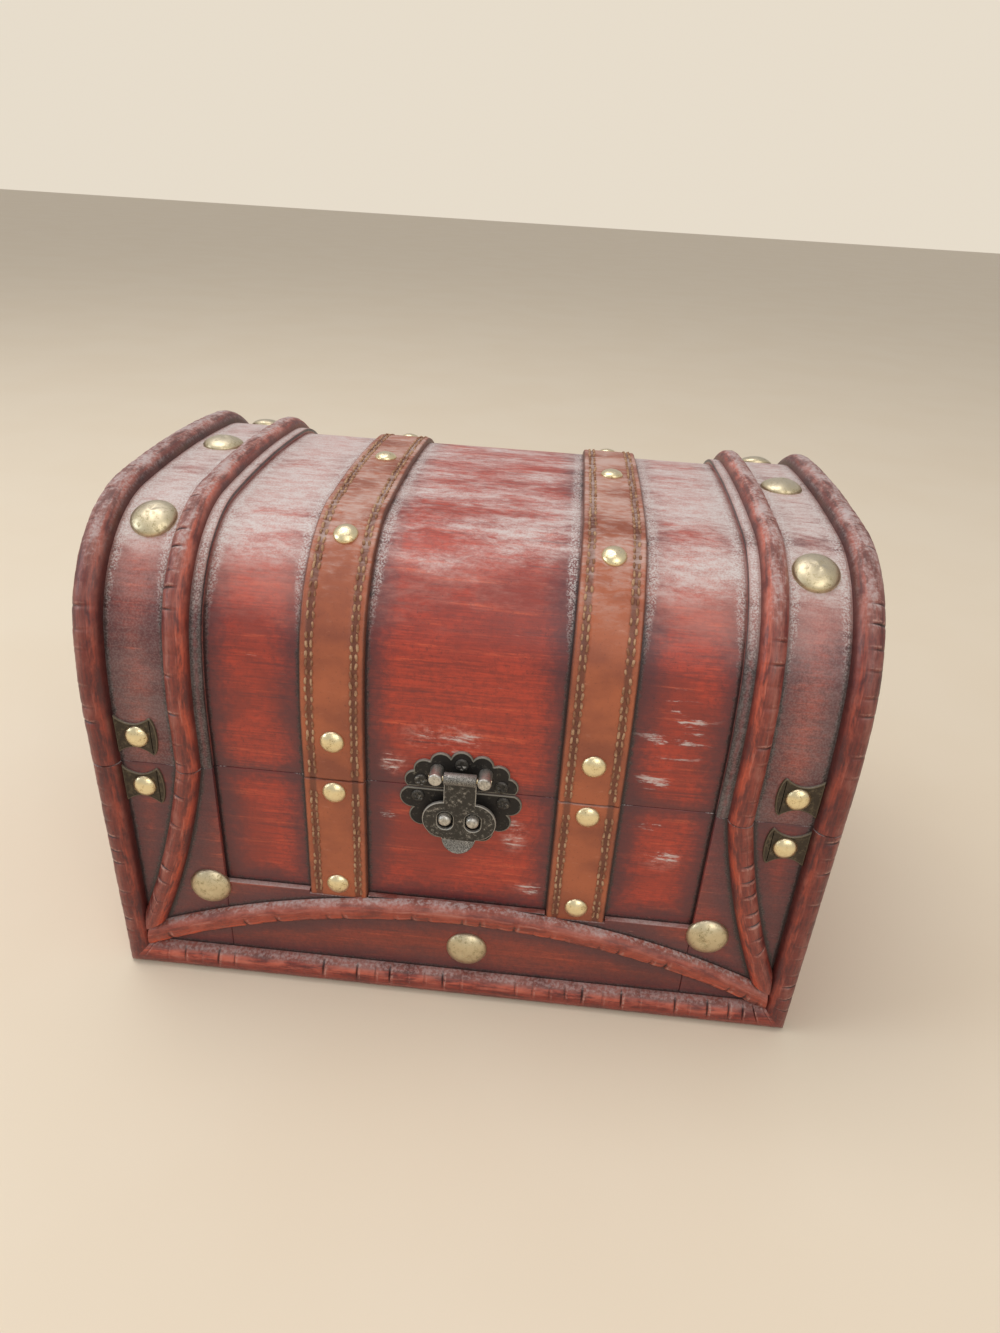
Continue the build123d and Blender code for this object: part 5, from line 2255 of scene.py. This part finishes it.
@dataclass
class Screws:
    """Cross-head screws of the latch and of the hinges, whose places are in millimetres."""

    finishes: Finishes
    radius: float = 2.1 * MM
    head: float = 0.9 * MM
    slot: float = 0.33 * MM
    slot_reach: float = 1.35 * MM
    slot_depth: float = 0.45 * MM
    upper: tuple[tuple[float, float], ...] = ((-12.9, 91.9), (12.9, 91.9), (0.0, 99.2))
    lower: tuple[tuple[float, float], ...] = ((-13.8, 85.8), (13.8, 85.8))
    hinge_x: float = 66.0
    hinge_step: float = 6.0
    hinge_rise: float = 8.5

    def screw(self, spot: Array, normal: Array, turn: float) -> Shape:
        """One head: a low dome with a cross sunk where |x| or |y| is under half the slot's width.

        Args:
            spot: Middle of the head's foot.
            normal: Direction that the head faces.
            turn: Angle of the cross.

        Returns:
            Points and faces.
        """
        rings = np.concatenate([[1.0, 1.0, 0.92], np.linspace(0.84, 0.06, 16), [0.0]]) * self.radius
        height = self.head * (0.45 + 0.55 * np.sqrt(np.clip(1 - (rings / self.radius) ** 2, 0.0, 1.0)))
        height[0] = -0.4 * MM
        profile = np.column_stack([rings, height])
        profile[-1, 1] -= self.slot_depth

        def cross(angle: Array, ring: Array) -> Array:
            """Change of height that sinks the cross.

            Args:
                angle: Angles round the head.
                ring: Radii.

            Returns:
                The changes, zero outside the cross.
            """
            x, y = ring * np.cos(angle - turn), ring * np.sin(angle - turn)
            near = np.minimum(np.abs(x), np.abs(y))
            cut = np.clip((self.slot * 1.35 - near) / (self.slot * 0.7), 0.0, 1.0)
            return -self.slot_depth * cut * np.clip((self.slot_reach * 1.15 - ring) / (0.25 * MM), 0.0, 1.0)

        return revolved(spot, normal, profile, 56, cross)

    def build(self) -> None:
        """Makes one piece for each set of screws."""
        bronze, brass = self.finishes.worn_bronze, self.finishes.hinge
        face, seam = SIZES.half_depth + SIZES.plate_thick, SIZES.seam / MM
        xs = [sign * self.hinge_x + step for _, sign in SIDES for step in (-self.hinge_step, self.hinge_step)]
        sets = (
            ("latch_upper_screws", "lid", -1, self.upper, bronze, "antique_bronze"),
            ("latch_lower_screws", "base", -1, self.lower, bronze, "antique_bronze"),
            ("hinge_base_screws", "base", 1, [(x, seam - self.hinge_rise) for x in xs], brass, "brass"),
            ("hinge_lid_screws", "lid", 1, [(x, seam + self.hinge_rise) for x in xs], brass, "brass"),
        )
        for seed, (node, body, side, spots, material, slot) in enumerate(sets):
            rng = np.random.default_rng(400 + seed)
            parts = []
            for x, z in spots:
                turn = rng.uniform(0, math.pi / 2)
                parts.append(self.screw(*along_y(x * MM, face, z * MM, side), turn))
            Piece(f"{node}_heads", *joined(parts), sharp=40.0).dress(material).mount(body, slot, node)


@dataclass
class Hinges:
    """The butt hinges on the back keep their own CAD shapes and get a brass finish."""

    finishes: Finishes

    def build(self) -> None:
        """Dresses the leaves and the pins."""
        nodes = ["hinge_pins"]
        nodes += [f"hinge_{half}_leaf_{name}" for half in ("base", "lid") for name, _ in SIDES]
        for node in nodes:
            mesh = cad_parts[node].data
            mesh.materials.clear()
            mesh.materials.append(self.finishes.hinge)
            log.info("%s: dressed", node)


def set_up(
    name: str, data: bpy.types.ID, axes: tuple[Array, Array, Array], place: Triple
) -> bpy.types.Object:
    """Adds an object whose own x, y and z point along given axes.

    Args:
        name: Name of the object.
        data: Its lamp or camera.
        axes: Unit vectors.
        place: Where it stands, in metres.

    Returns:
        The object.
    """
    thing = bpy.data.objects.new(name, data)
    thing.matrix_world = [[*axis, 0.0] for axis in axes] + [[*place, 1.0]]
    bpy.context.scene.collection.objects.link(thing)
    return thing


@dataclass
class Studio:
    """Pale floor, soft light from above and the left, and the camera of the photograph."""

    floor: Colour = (0.745, 0.640, 0.500)
    background: Colour = (0.80, 0.72, 0.60)
    glow: float = 0.58
    lens: float = 24.018
    camera_place: Triple = (22.82 * MM, -309.9 * MM, 262.02 * MM)
    yaw: float = math.radians(-3.21)
    pitch: float = math.radians(28.92)
    roll: float = math.radians(3.55)
    aim: float = 80.0 * MM
    floor_reach: float = 6.0

    def camera(self) -> None:
        """Places the camera: turned by its yaw, tipped down by its pitch, then rolled."""
        yaw, pitch, roll = self.yaw, self.pitch, self.roll
        level = np.array([math.cos(yaw), -math.sin(yaw), 0.0])
        ahead = np.array([math.sin(yaw), math.cos(yaw), 0.0])
        forward = math.cos(pitch) * ahead - math.sin(pitch) * np.array([0.0, 0.0, 1.0])
        upright = np.cross(level, forward)
        right = math.cos(roll) * level + math.sin(roll) * upright
        up = -math.sin(roll) * level + math.cos(roll) * upright
        data = bpy.data.cameras.new("camera")
        data.lens = self.lens
        data.sensor_width = 36.0
        data.clip_start = 0.01
        bpy.context.scene.camera = set_up("camera", data, (right, up, -forward), self.camera_place)

    def ground(self) -> None:
        """Lays the floor."""
        shader = Shader("floor_paper")
        mottle = shader.noise(9.0, 3.0, 0.5)
        tone = shader.colour(self.floor).towards(self.background, mottle.step(0.3, 0.7) * 0.2)
        material = shader.finish(tone, 0.75, specular=0.2)
        size = self.floor_reach
        corners = [(-size, -size, 0.0), (size, -size, 0.0), (size, size, 0.0), (-size, size, 0.0)]
        mesh = bpy.data.meshes.new("floor")
        mesh.from_pydata(corners, [], [[0, 1, 2, 3]])
        mesh.materials.append(material)
        floor = bpy.data.objects.new("floor", mesh)
        bpy.context.scene.collection.objects.link(floor)

    def lamp(self, name: str, place: Triple, size: float, power: float, colour: Colour) -> None:
        """Adds a soft square lamp that faces the middle of the chest.

        Args:
            name: Name of the lamp.
            place: Where it hangs, in metres.
            size: Its width.
            power: Its power, in watts.
            colour: Its colour.
        """
        data = bpy.data.lights.new(name, "AREA")
        data.shape = "SQUARE"
        data.size = size
        data.energy = power
        data.color = colour
        back = unit(np.array(place) - np.array([0.0, 0.0, self.aim]))
        side = unit(np.cross([0.0, 0.0, 1.0], back))
        set_up(name, data, (side, np.cross(back, side), back), place)

    def world(self) -> None:
        """Gives the surroundings a soft warm tone."""
        world = bpy.data.worlds.new("surroundings")
        world.use_nodes = True
        nodes, links = world.node_tree.nodes, world.node_tree.links
        glow, seen = nodes["Background"], nodes.new("ShaderNodeBackground")
        glow.inputs[0].default_value = (1.0, 0.975, 0.945, 1.0)
        glow.inputs[1].default_value = self.glow
        seen.inputs[0].default_value = (*self.background, 1.0)
        ray, blend = nodes.new("ShaderNodeLightPath"), nodes.new("ShaderNodeMixShader")
        links.new(ray.outputs["Is Camera Ray"], blend.inputs[0])
        links.new(glow.outputs[0], blend.inputs[1])
        links.new(seen.outputs[0], blend.inputs[2])
        links.new(blend.outputs[0], nodes["World Output"].inputs[0])
        bpy.context.scene.world = world

    def build(self) -> None:
        """Sets up the camera, the floor, the lamps and the surroundings."""
        self.camera()
        self.ground()
        self.world()
        self.lamp("top_light", (-0.45, 0.10, 1.50), 1.0, 9.5, (1.0, 0.985, 0.97))
        self.lamp("side_light", (-1.10, -0.35, 0.55), 0.45, 3.0, (0.80, 0.90, 1.0))
        self.lamp("front_light", (0.45, -1.10, 0.95), 0.9, 5.5, (1.0, 0.96, 0.91))
        bpy.context.scene.view_settings.view_transform = "Standard"


def main() -> None:
    """Builds and dresses every part of the chest, in the order in which it is put together."""
    logging.basicConfig(level=logging.INFO, format="%(name)s: %(message)s")
    finishes = Finishes()
    for part in (Woodwork, Mouldings, Straps, Nails, CornerPlates, Latch, Screws, Hinges):
        log.info("building %s", part.__name__)
        part(finishes).build()
    Studio().build()


if __name__ == "__main__":
    main()
